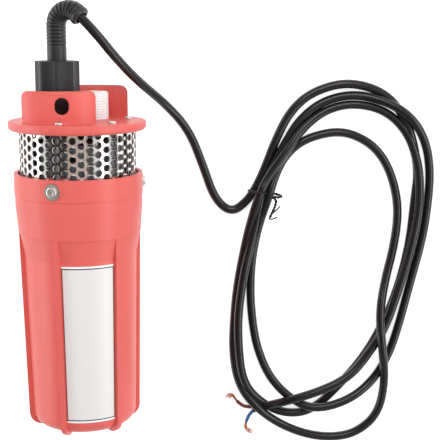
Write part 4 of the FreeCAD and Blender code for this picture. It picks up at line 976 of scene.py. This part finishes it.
@dataclass
class CoilTie:
    """The thin coated wire twisted round the bundle, with its loose ends.

    Attributes:
        strand: A strand's radius.
        twist: How far a strand winds from the pair's middle.
        pitch: How far the pair runs in one twist.
        steps: Points in one twist.
        aside: A direction that no run of the wire follows.
        loop: The wire's way round the bundle.
        tail: The twisted part beside the bundle.
        ends: The two loose ends.
    """

    strand: float = 0.55
    twist: float = 0.62
    pitch: float = 5.0
    steps: int = 6
    aside: Point = (0.2, 0.9, 0.4)
    loop: tuple[Point, ...] = (
        (134.0, 14.0, 15.6), (126.0, 14.6, 14.8), (121.6, 14.8, 9.0), (121.4, 14.6, 3.0), (122.6, 14.2, 1.3),
        (133.0, 13.0, 1.3), (143.0, 11.6, 1.4), (145.4, 11.0, 4.0), (145.6, 10.8, 10.0), (143.2, 10.8, 14.6),
        (138.6, 11.4, 16.0))
    tail: tuple[Point, ...] = (
        (138.6, 11.4, 16.0), (141.6, 8.6, 15.8), (140.4, 3.4, 14.8), (138.0, -2.2, 13.6), (136.6, -5.6, 12.6))
    ends: tuple[tuple[Point, ...], ...] = (
        ((138.4, -1.4, 13.8), (141.4, 0.6, 13.6), (144.6, 4.0, 13.0)),
        ((136.6, -5.6, 12.6), (139.0, -6.4, 11.6), (142.6, -4.4, 10.6)))

    def build(self) -> Piece:
        """Builds both strands, twisted round each other, and the loose ends.

        Returns:
            The tie.
        """
        strands = []
        for i, path in enumerate((self.loop, self.tail)):
            for phase in (0.0, math.pi):
                strands.append(self.twisted(f"tie_{i}_{phase:.0f}", path, phase))
        for i, end in enumerate(self.ends):
            points = [Vector(point) * MM for point in end]
            strands.append(spline(f"tie_end_{i}", points, self.strand, 6, 2))
        return stand_for(as_mesh(strands, "coil_tie"), TIE, "tie_coat", "cord_tie")

    def twisted(self, name: str, path: tuple[Point, ...], phase: float) -> Piece:
        """Makes one strand that winds along a path.

        Args:
            name: The strand's name.
            path: The pair's way in millimetres.
            phase: Where round the pair the strand starts.

        Returns:
            The strand.
        """
        route = [Vector(point) for point in path]
        points, gone = [], 0.0
        for start, end in zip(route, route[1:]):
            run = end - start
            side = run.normalized().cross(Vector(self.aside)).normalized()
            other = run.normalized().cross(side)
            steps = max(3, round(run.length / (self.pitch / self.steps)))
            for step in range(steps):
                angle = phase + 2 * math.pi * (gone + run.length * step / steps) / self.pitch
                offset = side * math.cos(angle) + other * math.sin(angle)
                points.append((start + run * step / steps + offset * self.twist) * MM)
            gone += run.length
        return spline(name, points, self.strand, 2, 2)


@dataclass
class WireEnd:
    """One insulated wire at the cord's open end, with its bare, spread strands.

    Attributes:
        name: The wire's colour.
        finish: The insulation's finish.
        jacket: The insulation's points in the row frame, in millimetres.
        copper: The bare end's points.
        radius: The insulation's radius.
        count: How many strands it has.
        turn: The angle from one strand to the next, in radians.
        fan: How far the outermost strand lies from the middle.
        spread: How much further apart the strands are at their tips.
        strand_radius: A strand's radius.
        lowest: How low a strand may lie.
    """

    name: str
    finish: Finish
    jacket: tuple[Point, ...]
    copper: tuple[Point, ...]
    radius: float = 1.35
    count: int = 14
    turn: float = 2.4
    fan: float = 0.75
    spread: float = 2.2
    strand_radius: float = 0.17
    lowest: float = 0.25

    def build(self) -> list[Piece]:
        """Builds the insulation and the strands.

        Returns:
            Both pieces.
        """
        points = [Vector(point) * MM for point in self.jacket]
        jacket = spline(f"{self.name}_jacket", points, self.radius, 8, 4)
        stand_for(jacket, self.finish, f"{self.name}_jacket", f"{self.name}_wire")
        bundle = as_mesh([self.strand(i) for i in range(self.count)], f"{self.name}_copper")
        return [jacket, stand_for(bundle, COPPER, "copper", f"{self.name}_strands")]

    def strand(self, index: int) -> Piece:
        """Makes one thin strand, further from the others towards its end.

        Args:
            index: Which strand it is.

        Returns:
            The strand.
        """
        angle = self.turn * index
        reach = self.fan * math.sqrt((index + 0.5) / self.count)
        points = []
        last = len(self.copper) - 1
        for i, point in enumerate(self.copper):
            open_up = 1 + self.spread * (i / last) ** 2
            side = Vector((math.cos(angle), math.sin(angle), 0.5 * math.sin(angle + i))) * reach * open_up
            spot = Vector(point) + side
            spot.z = max(spot.z, self.lowest)
            points.append(spot * MM)
        return spline(f"{self.name}_strand_{index}", points, self.strand_radius, 6, 1)


BROWN_END = WireEnd("brown", BROWN,
                    ((126.5, -153.6, 4.0), (120.5, -153.8, 3.2), (116.4, -152.2, 2.2), (113.5, -149.5, 1.8)),
                    ((113.7, -149.7, 1.8), (111.4, -146.6, 1.4), (109.6, -144.0, 1.2), (105.8, -146.4, 1.0)))
BLUE_END = WireEnd("blue", BLUE,
                   ((127.6, -155.2, 4.0), (124.2, -158.6, 3.0), (122.0, -162.4, 2.2), (120.9, -165.8, 1.8)),
                   ((120.9, -165.4, 1.8), (119.9, -169.4, 1.4), (121.2, -172.6, 1.2), (125.2, -174.2, 1.0)))


# Canister and label

@dataclass
class Canister:
    """The ribbed canister as it lies in the photograph: its foot a trace lower and to the right.

    Attributes:
        start: The height below which it leans.
        lean: How far to the right its underside lies.
        drop: How much lower its underside lies.
    """

    start: float = 174.0
    lean: float = 1.25
    drop: float = 1.3

    def lay(self, piece: Piece) -> None:
        """Moves a piece's points as far as they are below the collar.

        Args:
            piece: The piece in the pump's frame.
        """
        for vertex in piece.data.vertices:
            share = max(0.0, 1 - vertex.co.z / (self.start * MM))
            vertex.co += Vector((self.lean * share, 0, -self.drop * share)) * MM

    def build(self) -> Piece:
        """Lays a copy of the housing, which keeps its shading.

        Returns:
            The canister.
        """
        solid = frame["nodes"]["housing"]
        canister = solid.copy()
        canister.data = solid.data.copy()
        canister.name = canister.data.name = "canister"
        bpy.context.collection.objects.link(canister)
        canister.data.transform(pump.place.inverted() @ canister.matrix_world)
        canister.matrix_world = Matrix.Identity(4)
        self.lay(canister)
        settle(canister)
        return stand_for(canister, RED, "red_plastic", "housing")


@dataclass
class LabelPlate:
    """The blank plate on the front panel, bent to the canister.

    Attributes:
        middle: The angle of its middle round the axis, in degrees.
        sweep: How far round it reaches, in degrees.
        bottom: The height of its lower edge.
        top: The height of its upper edge.
        low_radius: The panel's radius at its lower edge.
        slope: How much the panel widens upwards.
        thickness: The plate's thickness.
    """

    middle: float = -75.5
    sweep: float = 53.0
    bottom: float = 11.0
    top: float = 123.3
    low_radius: float = 37.24
    slope: float = 0.02336
    thickness: float = 0.25

    def build(self) -> Piece:
        """Bends a flat grid round the panel and thickens it.

        Returns:
            The plate.
        """
        bpy.ops.mesh.primitive_grid_add(x_subdivisions=36, y_subdivisions=6, size=1.0, calc_uvs=True)
        plate = added("label_sheet")
        for vertex in plate.data.vertices:
            across, up = vertex.co.x + 0.5, vertex.co.y + 0.5
            height = self.bottom + (self.top - self.bottom) * up
            angle = math.radians(self.middle + self.sweep * (across - 0.5))
            reach = self.low_radius + self.slope * (height - self.bottom)
            vertex.co = Vector((math.cos(angle) * reach, math.sin(angle) * reach, height)) * MM
        Canister().lay(plate)
        modifier(plate, "SOLIDIFY", thickness=self.thickness * MM, offset=1.0)
        apply_modifiers(plate)
        smooth(plate, 40)
        settle(plate)
        return stand_for(plate, LABEL, "label_white", "label")


# Strainer

@dataclass
class Strainer:
    """The perforated sleeve: staggered round holes with softened rims.

    Attributes:
        radius: The sleeve's outer radius.
        wall: Its thickness.
        bottom: The height of its lower edge.
        top: The height of its upper edge.
        columns: Columns of holes round it.
        pitch: From one hole to the next in a column.
        rows: Rows of the net that the holes are opened in.
        hole: A hole's radius.
        rim: The radius of a hole's rim.
        dimple: How far a rim is set in.
        rim_cosine: Faces that look further aside than this get the darker steel, painted shade on the rims
            and walls.
        first_row: The height of the net's first row.
        turn: How far the net is turned, in degrees.
        round_sides: Sides of the true round that lends its normals.
        round_height: That round's height.
        near: How far off a place still counts as on it.
        off_round: How far off the sleeve's round a hole's middle may be.
    """

    radius: float = 39.7
    wall: float = 0.8
    bottom: float = 178.4
    top: float = 213.9
    columns: int = 44
    pitch: float = 6.25
    rows: int = 7
    hole: float = 1.9
    rim: float = 2.5
    dimple: float = 0.25
    rim_cosine: float = 0.965
    first_row: float = 174.3
    turn: float = 2.6
    round_sides: int = 256
    round_height: float = 60.0
    near: float = 0.02
    off_round: float = 0.05

    def build(self) -> Piece:
        """Opens a net's corners into holes, and gives the sleeve its wall, its steel, and a darker steel of
        painted shade on the faces that look aside.

        Returns:
            The sleeve.
        """
        sleeve = self.net()
        corners = {self.key(v.co) for v in sleeve.data.vertices if self.is_hole(v.co)}
        with editing(sleeve):
            pick("VERT", lambda v: self.key(v.co) in corners)
            bpy.ops.mesh.bevel(offset=self.rim * MM, affect="VERTICES", segments=1)
        self.straighten(sleeve)
        with editing(sleeve):
            pick("FACE", lambda f: len(f.verts) > 6)
            bpy.ops.mesh.inset(thickness=(self.rim - self.hole) * MM, depth=-self.dimple * MM,
                               use_individual=True)
            bpy.ops.mesh.delete(type="FACE")
            trim(self.bottom, self.top)
        modifier(sleeve, "SOLIDIFY", thickness=self.wall * MM, offset=-1.0)
        apply_modifiers(sleeve)
        self.round_off(sleeve)
        painted_shade_faces = [self.in_painted_shade(face) for face in sleeve.data.polygons]
        settle(sleeve)
        stand_for(sleeve, STRAINER_STEEL, "bright_steel", "strainer")
        # Faces that look aside get the darker steel: painted shade on the hole rims and walls.
        sleeve.data.materials.append(SHADED_RIM_STEEL.material())
        for face, rim in zip(sleeve.data.polygons, painted_shade_faces):
            face.material_index = int(rim)
        return sleeve

    def net(self) -> Piece:
        """Raises a ring row by row into a net with a corner at each hole.

        Returns:
            The net.
        """
        bpy.ops.mesh.primitive_circle_add(vertices=self.columns, radius=self.radius * MM,
                                          location=(0, 0, self.first_row * MM))
        net = added("strainer_sleeve")
        take(net)
        bpy.ops.object.transform_apply(location=True)
        with editing(net):
            pick_all()
            for _ in range(self.rows):
                bpy.ops.mesh.extrude_region_move(TRANSFORM_OT_translate={"value": (0, 0, self.pitch * MM)})
            pick("VERT", lambda v: round(self.column(v.co)) % 2 == 1)
            bpy.ops.transform.translate(value=(0, 0, self.pitch / 2 * MM))
            pick_all()
            bpy.ops.mesh.quads_convert_to_tris(quad_method="SHORTEST_DIAGONAL")
            pick_all()
            bpy.ops.mesh.poke()
        return net

    def round_off(self, sleeve: Piece) -> None:
        """Gives the sleeve's outside the normals of a true round, so that it reflects in clean bands.

        Args:
            sleeve: The sleeve in the pump's frame.
        """
        smooth(sleeve, 16)
        bpy.ops.mesh.primitive_cylinder_add(vertices=self.round_sides, radius=self.radius * MM,
                                            depth=self.round_height * MM,
                                            location=(0, 0, (self.bottom + self.top) / 2 * MM))
        true_round = added("true_round")
        smooth(true_round, 40)
        outside = sleeve.vertex_groups.new(name="outside")
        level = [v.index for v in sleeve.data.vertices if self.off(v.co) < self.near]
        outside.add(level, 1.0, "REPLACE")
        modifier(sleeve, "DATA_TRANSFER", object=true_round, use_loop_data=True,
                 data_types_loops={"CUSTOM_NORMAL"}, loop_mapping="POLYINTERP_NEAREST",
                 vertex_group="outside")
        apply_modifiers(sleeve)
        bpy.data.objects.remove(true_round)

    def column(self, point: Vector) -> float:
        """Returns which column a point of the net is in."""
        return math.atan2(point.y, point.x) / (2 * math.pi / self.columns)

    def off(self, point: Vector) -> float:
        """Returns how far a point is off the sleeve's round, in millimetres."""
        return abs(point.xy.length / MM - self.radius)

    @staticmethod
    def key(point: Vector) -> tuple[int, int, int]:
        """Names a place to a hundredth of a millimetre."""
        return tuple(round(value * 1e5) for value in point)

    def is_hole(self, point: Vector) -> bool:
        """Says whether a corner of the net is the middle of a hole.

        Args:
            point: The corner.

        Returns:
            Whether it is.
        """
        column = self.column(point)
        lift = (self.pitch / 2) if round(column) % 2 else 0
        row = (point.z / MM - self.first_row - lift) / self.pitch
        on_net = abs(column - round(column)) < self.near and abs(row - round(row)) < self.near
        return on_net and self.off(point) < self.off_round

    def in_painted_shade(self, face: bpy.types.MeshPolygon) -> bool:
        """Says whether a face looks aside, as a rim's and a wall's faces do, and so gets the darker steel of
        painted shade.
        """
        out = Vector((face.center.x, face.center.y, 0)).normalized()
        return abs(face.normal.dot(out)) < self.rim_cosine

    def straighten(self, sleeve: Piece) -> None:
        """Puts every corner on the sleeve's round and turns the sleeve to its place.

        Args:
            sleeve: The sleeve in the pump's frame.
        """
        turn = Matrix.Rotation(math.radians(self.turn), 3, "Z")
        for vertex in sleeve.data.vertices:
            scale = self.radius * MM / vertex.co.xy.length
            vertex.co = turn @ Vector((vertex.co.x * scale, vertex.co.y * scale, vertex.co.z))


# Knob and boot

@dataclass
class Knob:
    """The gland's knob: wide flutes between narrow ridges, hollow from below.

    Attributes:
        bottom: The height of its lower end.
        top: The height of its upper end.
        radius: The radius over its ridges.
        flutes: How many flutes it has.
        flute_radius: A flute's own radius.
        flute_depth: How deep a flute is.
        ridge_turn: The angle of one ridge, in degrees.
        hollow: The radius of its hollow.
        roof: The thickness over the hollow.
        opening: The radius of the boot's hole.
        lip: The rounding of its upper edge.
        sides: Points round its outline.
        bore_steps: Divisions of its hollow.
    """

    bottom: float = 222.4
    top: float = 260.4
    radius: float = 15.2
    flutes: int = 8
    flute_radius: float = 20.0
    flute_depth: float = 1.5
    ridge_turn: float = -84.0
    hollow: float = 11.5
    roof: float = 4.5
    opening: float = 7.0
    lip: float = 0.5
    sides: int = 252
    bore_steps: int = 72

    def reach(self, angle: float) -> float:
        """Finds the knob's radius at an angle.

        Args:
            angle: The angle round the knob, in radians.

        Returns:
            The radius in millimetres.
        """
        period = 2 * math.pi / self.flutes
        off = (angle - math.radians(self.ridge_turn)) % period - period / 2
        away = self.radius + self.flute_radius - self.flute_depth
        inside = self.flute_radius ** 2 - (away * math.sin(off)) ** 2
        flute = away * math.cos(off) - math.sqrt(inside) if inside > 0 else self.radius
        return min(self.radius, flute)

    def build(self) -> Piece:
        """Shapes a circle into the fluted outline, raises it and bores it from both ends.

        Returns:
            The knob.
        """
        bpy.ops.mesh.primitive_circle_add(vertices=self.sides, radius=self.radius * MM, fill_type="NGON")
        knob = added("gland_knob")
        for vertex in knob.data.vertices:
            angle = math.atan2(vertex.co.y, vertex.co.x)
            vertex.co *= self.reach(angle) / self.radius
        height = self.top - self.bottom
        with editing(knob):
            pick_all()
            bpy.ops.mesh.extrude_region_move(TRANSFORM_OT_translate={"value": (0, 0, height * MM)})
            pick_all()
            bpy.ops.mesh.normals_make_consistent(inside=False)
            pick("EDGE", lambda e: all(v.co.z > (height - 0.01) * MM for v in e.verts))
            bpy.ops.mesh.bevel(offset=self.lip * MM, segments=3)
        roof = height - self.roof
        corners = [(0, -1), (self.hollow, -1), (self.hollow, roof), (self.opening, roof),
                   (self.opening, height + 1), (0, height + 1)]
        cut_out(knob, lathe("knob_bore", corners, self.bore_steps))
        smooth(knob, 24)
        knob.data.transform(Matrix.Translation(Vector((BEND.x, BEND.y, self.bottom)) * MM))
        settle(knob)
        return stand_for(knob, KNOB, "black_plastic", "gland_nut")


@dataclass
class Boot:
    """The rubber boot with its rings and staggered slots, bent over its cord.

    Attributes:
        foot: The height of its lower end.
        sleeve_top: Where its plain sleeve ends and its rings start.
        sleeve_radius: The sleeve's radius.
        radius: The rings' radius.
        groove: The radius at the bottom of a slot.
        pitch: From one ring to the next.
        slot: A slot's share of the pitch.
        slot_gain: How steep a slot's walls are.
        bridge: How far round the outline the slots stay shallow, in radians.
        bridge_ease: Over which angle they deepen.
        shallow: A slot's share of its depth at the outline.
        cup_radius: The widest radius of the rounded end.
        cup_lip: The radius at its tip.
        cup_length: The length of the rounded end.
        cup_swell: The share of that length over which it widens.
        mouth_depth: How deep its mouth is.
        cord_radius: The cord's radius.
        sides: Points round it.
        step: From one ring of points to the next.
    """

    foot: float = 252.0
    sleeve_top: float = 270.9
    sleeve_radius: float = 6.7
    radius: float = 6.8
    groove: float = 5.7
    pitch: float = 2.45
    slot: float = 0.34
    slot_gain: float = 2.4
    bridge: float = 0.25
    bridge_ease: float = 0.4
    shallow: float = 0.12
    cup_radius: float = 7.1
    cup_lip: float = 5.0
    cup_length: float = 4.0
    cup_swell: float = 0.45
    mouth_depth: float = 2.5
    cord_radius: float = 3.3
    sides: int = 64
    step: float = 0.13

    @property
    def length(self) -> float:
        """The boot's whole length along its middle line."""
        bend = math.radians(BEND.degrees) * BEND.radius
        return BEND.level - self.foot + bend + self.cup_length

    def centre(self, along: float) -> tuple[Vector, Vector]:
        """Finds the middle line's point and direction.

        Args:
            along: The distance from the boot's foot, in millimetres.

        Returns:
            The point, and the direction ahead.
        """
        straight = BEND.level - self.foot
        if along <= straight:
            return Vector((BEND.x, BEND.y, self.foot + along)), Vector((0, 0, 1))
        angle = min((along - straight) / BEND.radius, math.radians(BEND.degrees))
        past = along - straight - angle * BEND.radius
        ahead = Vector((math.sin(angle), 0, math.cos(angle)))
        middle = Vector((BEND.x + BEND.radius, BEND.y, BEND.level))
        arm = Vector((-math.cos(angle), 0, math.sin(angle))) * BEND.radius
        return middle + arm + ahead * past, ahead

    def outer(self, along: float, angle: float) -> float:
        """Finds the boot's radius.

        Args:
            along: The distance from the boot's foot, in millimetres.
            angle: The angle round the middle line, zero away from the bend.

        Returns:
            The radius in millimetres.
        """
        rings_start = self.sleeve_top - self.foot
        rings_end = self.length - self.cup_length
        if along < rings_start:
            return self.sleeve_radius
        if along > rings_end:
            late = min(1.0, (along - rings_end) / self.cup_length)
            if late < self.cup_swell:
                return self.radius + (self.cup_radius - self.radius) * late / self.cup_swell
            fall = (late - self.cup_swell) / (1 - self.cup_swell)
            return self.cup_lip + (self.cup_radius - self.cup_lip) * math.sqrt(max(0.0, 1 - fall ** 2))
        place = (along - rings_start) / self.pitch
        within = place - int(place)
        if within > self.slot:
            return self.radius
        from_bridge = abs((angle + math.pi / 2) % math.pi - math.pi / 2)
        open_share = min(1.0, max(self.shallow, (from_bridge - self.bridge) / self.bridge_ease))
        cut = 0.5 - 0.5 * math.cos(2 * math.pi * within / self.slot)
        return self.radius - (self.radius - self.groove) * min(1.0, self.slot_gain * cut) * open_share

    def rings(self) -> list[tuple[float, float | None]]:
        """Lists the rings of points, up the outside and into the mouth.

        Returns:
            Each ring's distance from the foot, and its radius where it has one of its own.
        """
        count = round(self.length / self.step)
        outside = [(self.length * i / count, None) for i in range(count + 1)]
        floor = self.length - self.mouth_depth
        return outside + [(self.length, self.cup_lip - 0.5), (floor + 0.1, self.cord_radius + 0.9),
                          (floor, self.cord_radius + 0.02)]

    def spot(self, along: float, radius: float | None, column: int) -> Vector:
        """Finds one point of a ring.

        Args:
            along: The ring's distance from the boot's foot.
            radius: The ring's own radius, or None for the boot's.
            column: Which point round the ring it is.

        Returns:
            The point in millimetres.
        """
        middle, ahead = self.centre(along)
        side = Vector((0, 1, 0))
        out = side.cross(ahead).normalized()
        angle = 2 * math.pi * column / self.sides
        reach = self.outer(along, angle) if radius is None else radius
        return middle + (out * -math.cos(angle) + side * math.sin(angle)) * reach

    def build(self) -> Piece:
        """Rolls a grid into rings along the middle line, closes its ends and turns the bend.

        Returns:
            The boot.
        """
        rings = self.rings()
        rows = len(rings) - 1
        bpy.ops.mesh.primitive_grid_add(x_subdivisions=self.sides, y_subdivisions=rows, size=1.0,
                                        calc_uvs=False)
        boot = added("cord_boot_rings")
        for vertex in boot.data.vertices:
            column, row = round((vertex.co.x + 0.5) * self.sides), round((vertex.co.y + 0.5) * rows)
            vertex.co = self.spot(*rings[row], column % self.sides) * MM
        with editing(boot):
            merge_and_face_out(0.0005)
            pick("EDGE", lambda e: e.is_boundary)
            bpy.ops.mesh.fill_holes(sides=0)
            merge_and_face_out(0.0005)
        axis = Vector((BEND.x, BEND.y, 0)) * MM
        turn = Matrix.Rotation(math.radians(BEND.turn), 4, "Z")
        boot.data.transform(Matrix.Translation(axis) @ turn @ Matrix.Translation(-axis))
        smooth(boot, 38)
        settle(boot)
        return stand_for(boot, BOOT_RUBBER, "black_rubber", "cord_boot")


# Outlet

@dataclass
class Outlet:
    """The white outlet with its pipe thread and bore.

    Attributes:
        x: Where its axis stands.
        y: Where its axis stands, from the label's side.
        bottom: The height of its lower end.
        cap_top: The height of the cap's face.
        top: The height of its upper end.
        crest: The radius over the thread.
        root: The radius between the thread's turns.
        stem: The radius in the cap.
        bore: The bore's radius.
        pitch: The thread's pitch.
        flat: Half of a crest's share of the pitch.
        steps: Divisions of a full turn.
    """

    x: float = 10.3
    y: float = 11.4
    bottom: float = 200.8
    cap_top: float = 219.1
    top: float = 238.3
    crest: float = 10.48
    root: float = 10.12
    stem: float = 9.0
    bore: float = 6.5
    pitch: float = 1.814
    flat: float = 0.12
    steps: int = 56

    def build(self) -> Piece:
        """Builds the thread as a wound profile and the stem and bore as turned forms.

        Returns:
            The outlet.
        """
        thread = self.thread()
        outlet = join([self.turned(), thread], "outlet_thread")
        smooth(outlet, 30)
        settle(outlet)
        return stand_for(outlet, WHITE, "white_plastic", "outlet_fitting")

    def thread(self) -> Piece:
        """Winds one tooth of the thread up the outlet.

        Returns:
            The thread.
        """
        turns = math.ceil((self.top - self.cap_top) / self.pitch)
        middle, flat = self.pitch / 2, self.pitch * self.flat
        winding = outline("outlet_winding", [(self.root, 0.0), (self.crest, middle - flat),
                                             (self.crest, middle + flat), (self.root, self.pitch)])
        with editing(winding):
            pick("EDGE", lambda e: all(v.co.x < (self.root + 0.01) * MM for v in e.verts))
            bpy.ops.mesh.delete(type="EDGE")
        modifier(winding, "SCREW", angle=2 * math.pi, screw_offset=self.pitch * MM, iterations=turns + 1,
                 steps=self.steps, render_steps=self.steps, use_merge_vertices=True,
                 merge_threshold=0.01 * MM)
        apply_modifiers(winding)
        winding.data.transform(Matrix.Translation(Vector((self.x, self.y, self.cap_top - self.pitch)) * MM))
        with editing(winding):
            merge_and_face_out(0.005)
            trim(self.cap_top, self.top - 0.5)
            pick_all()
            bpy.ops.mesh.normals_make_consistent(inside=False)
        return winding

    def turned(self) -> Piece:
        """Turns the stem, the root of the thread, the rim and the bore.

        Returns:
            The turned piece.
        """
        root = self.root + 0.05
        corners = [(self.bore, self.bottom), (self.stem, self.bottom), (self.stem, self.cap_top),
                   (root, self.cap_top), (root, self.top - 0.7), (self.root - 0.4, self.top),
                   (self.bore + 0.4, self.top), (self.bore, self.top - 0.4)]
        return lathe("outlet_turned", corners, self.steps, (self.x, self.y, 0.0))


# Screws

class Facing(Enum):
    """Which way the heads of a ring of screws face."""

    OUT = "out"
    UP = "up"


@dataclass
class ScrewRing:
    """A ring of equal pan head screws with cross recesses, round the pump's axis.

    Attributes:
        name: The piece's name.
        node: The node that it stands for.
        head: A head's radius.
        height: A head's height.
        recess: How wide its cross recess is.
        count: How many screws there are.
        radius: Their distance from the axis.
        level: Their height.
        first: The angle of the first, in degrees.
        facing: Which way they face.
        twist: How far the first head is turned about itself, in degrees.
        more_twist: How much further each next head is turned.
    """

    name: str
    node: str
    head: float
    height: float
    recess: float
    count: int
    radius: float
    level: float
    first: float
    facing: Facing
    twist: float
    more_twist: float

    HEAD_SIDES = 40
    CROWN_SHARE = 0.55
    ARM_SHARE = 0.26
    RECESS_DEPTH = 1.1
    SOFT_EDGE = 0.08

    def build(self) -> Piece:
        """Models one head and copies it round the axis.

        Returns:
            The joined heads.
        """
        lie = Matrix.Rotation(math.pi / 2, 4, "Y") if self.facing is Facing.OUT else Matrix.Identity(4)
        stand = Matrix.Translation((self.radius * MM, 0, self.level * MM)) @ lie
        places = []
        for i in range(self.count):
            turn = Matrix.Rotation(math.radians(self.first + 360 / self.count * i), 4, "Z")
            twist = Matrix.Rotation(math.radians(self.twist + self.more_twist * i), 4, "Z")
            places.append(turn @ stand @ twist)
        screws = copies(self.head_mesh(), places, self.name)
        settle(screws)
        return stand_for(screws, SCREW_STEEL, "screw_steel", self.node)

    def head_mesh(self) -> Piece:
        """Models one head at the origin, its underside at zero.

        Returns:
            The head.
        """
        bpy.ops.mesh.primitive_cylinder_add(vertices=self.HEAD_SIDES, radius=self.head * MM,
                                            depth=self.height * MM,
                                            location=(0, 0, self.height / 2 * MM))
        head = added("screw_head")
        take(head)
        bpy.ops.object.transform_apply(location=True)
        with editing(head):
            pick("EDGE", lambda e: all(v.co.z > self.height * 0.9 * MM for v in e.verts))
            bpy.ops.mesh.bevel(offset=self.height * self.CROWN_SHARE * MM, segments=5, profile=0.6)
        narrow = self.recess * self.ARM_SHARE
        for long, wide in ((self.recess, narrow), (narrow, self.recess)):
            bpy.ops.mesh.primitive_cube_add(size=1.0, location=(0, 0, self.height * MM))
            cutter = added("recess")
            cutter.scale = (long * MM, wide * MM, self.height * self.RECESS_DEPTH * MM)
            take(cutter)
            bpy.ops.object.transform_apply(scale=True, location=True)
            cut_out(head, cutter)
        modifier(head, "BEVEL", width=self.SOFT_EDGE * MM, segments=2, limit_method="ANGLE",
                 angle_limit=math.radians(55))
        apply_modifiers(head)
        smooth(head, 30)
        return head


COLLAR_SCREWS = ScrewRing("collar_screw_heads", "housing_screws", 3.6, 2.0, 4.4, 3, 45.7, 174.8, -105.5,
                          Facing.OUT, 20.0, 37.0)
CAP_SCREWS = ScrewRing("cap_screw_heads", "cap_screws", 2.7, 2.2, 3.2, 6, 36.3, 218.6, -102.5,
                       Facing.UP, 0.0, 25.0)


# The whole pump

def dress_carried_over() -> None:
    """Gives every node that stays its finish."""
    for finish, names in CARRIED_OVER.items():
        for name in names:
            finish.put_on(frame["nodes"][name])
            log.info("%s in %s", name, finish.name)


def report(piece: Piece) -> None:
    """Logs a piece with the number of its faces, or of its points where it is a curve.

    Args:
        piece: The piece.
    """
    if piece.type == "CURVE":
        log.info("%s of %d points", piece.name, len(piece.data.splines[0].points))
    else:
        log.info("%s with %d faces", piece.name, len(piece.data.polygons))


def main() -> None:
    """Builds the studio and every piece in order, and reports each piece."""
    Studio().build()
    loose = [*BROWN_END.build(), *BLUE_END.build(), CoilTie().build()]
    for piece in (*loose, Cord().build(loose)):
        report(piece)
    dress_carried_over()
    for assembly in (Canister(), Strainer(), Knob(), Boot(), Outlet(), COLLAR_SCREWS, CAP_SCREWS,
                     LabelPlate()):
        report(assembly.build())


if __name__ == "__main__":
    main()
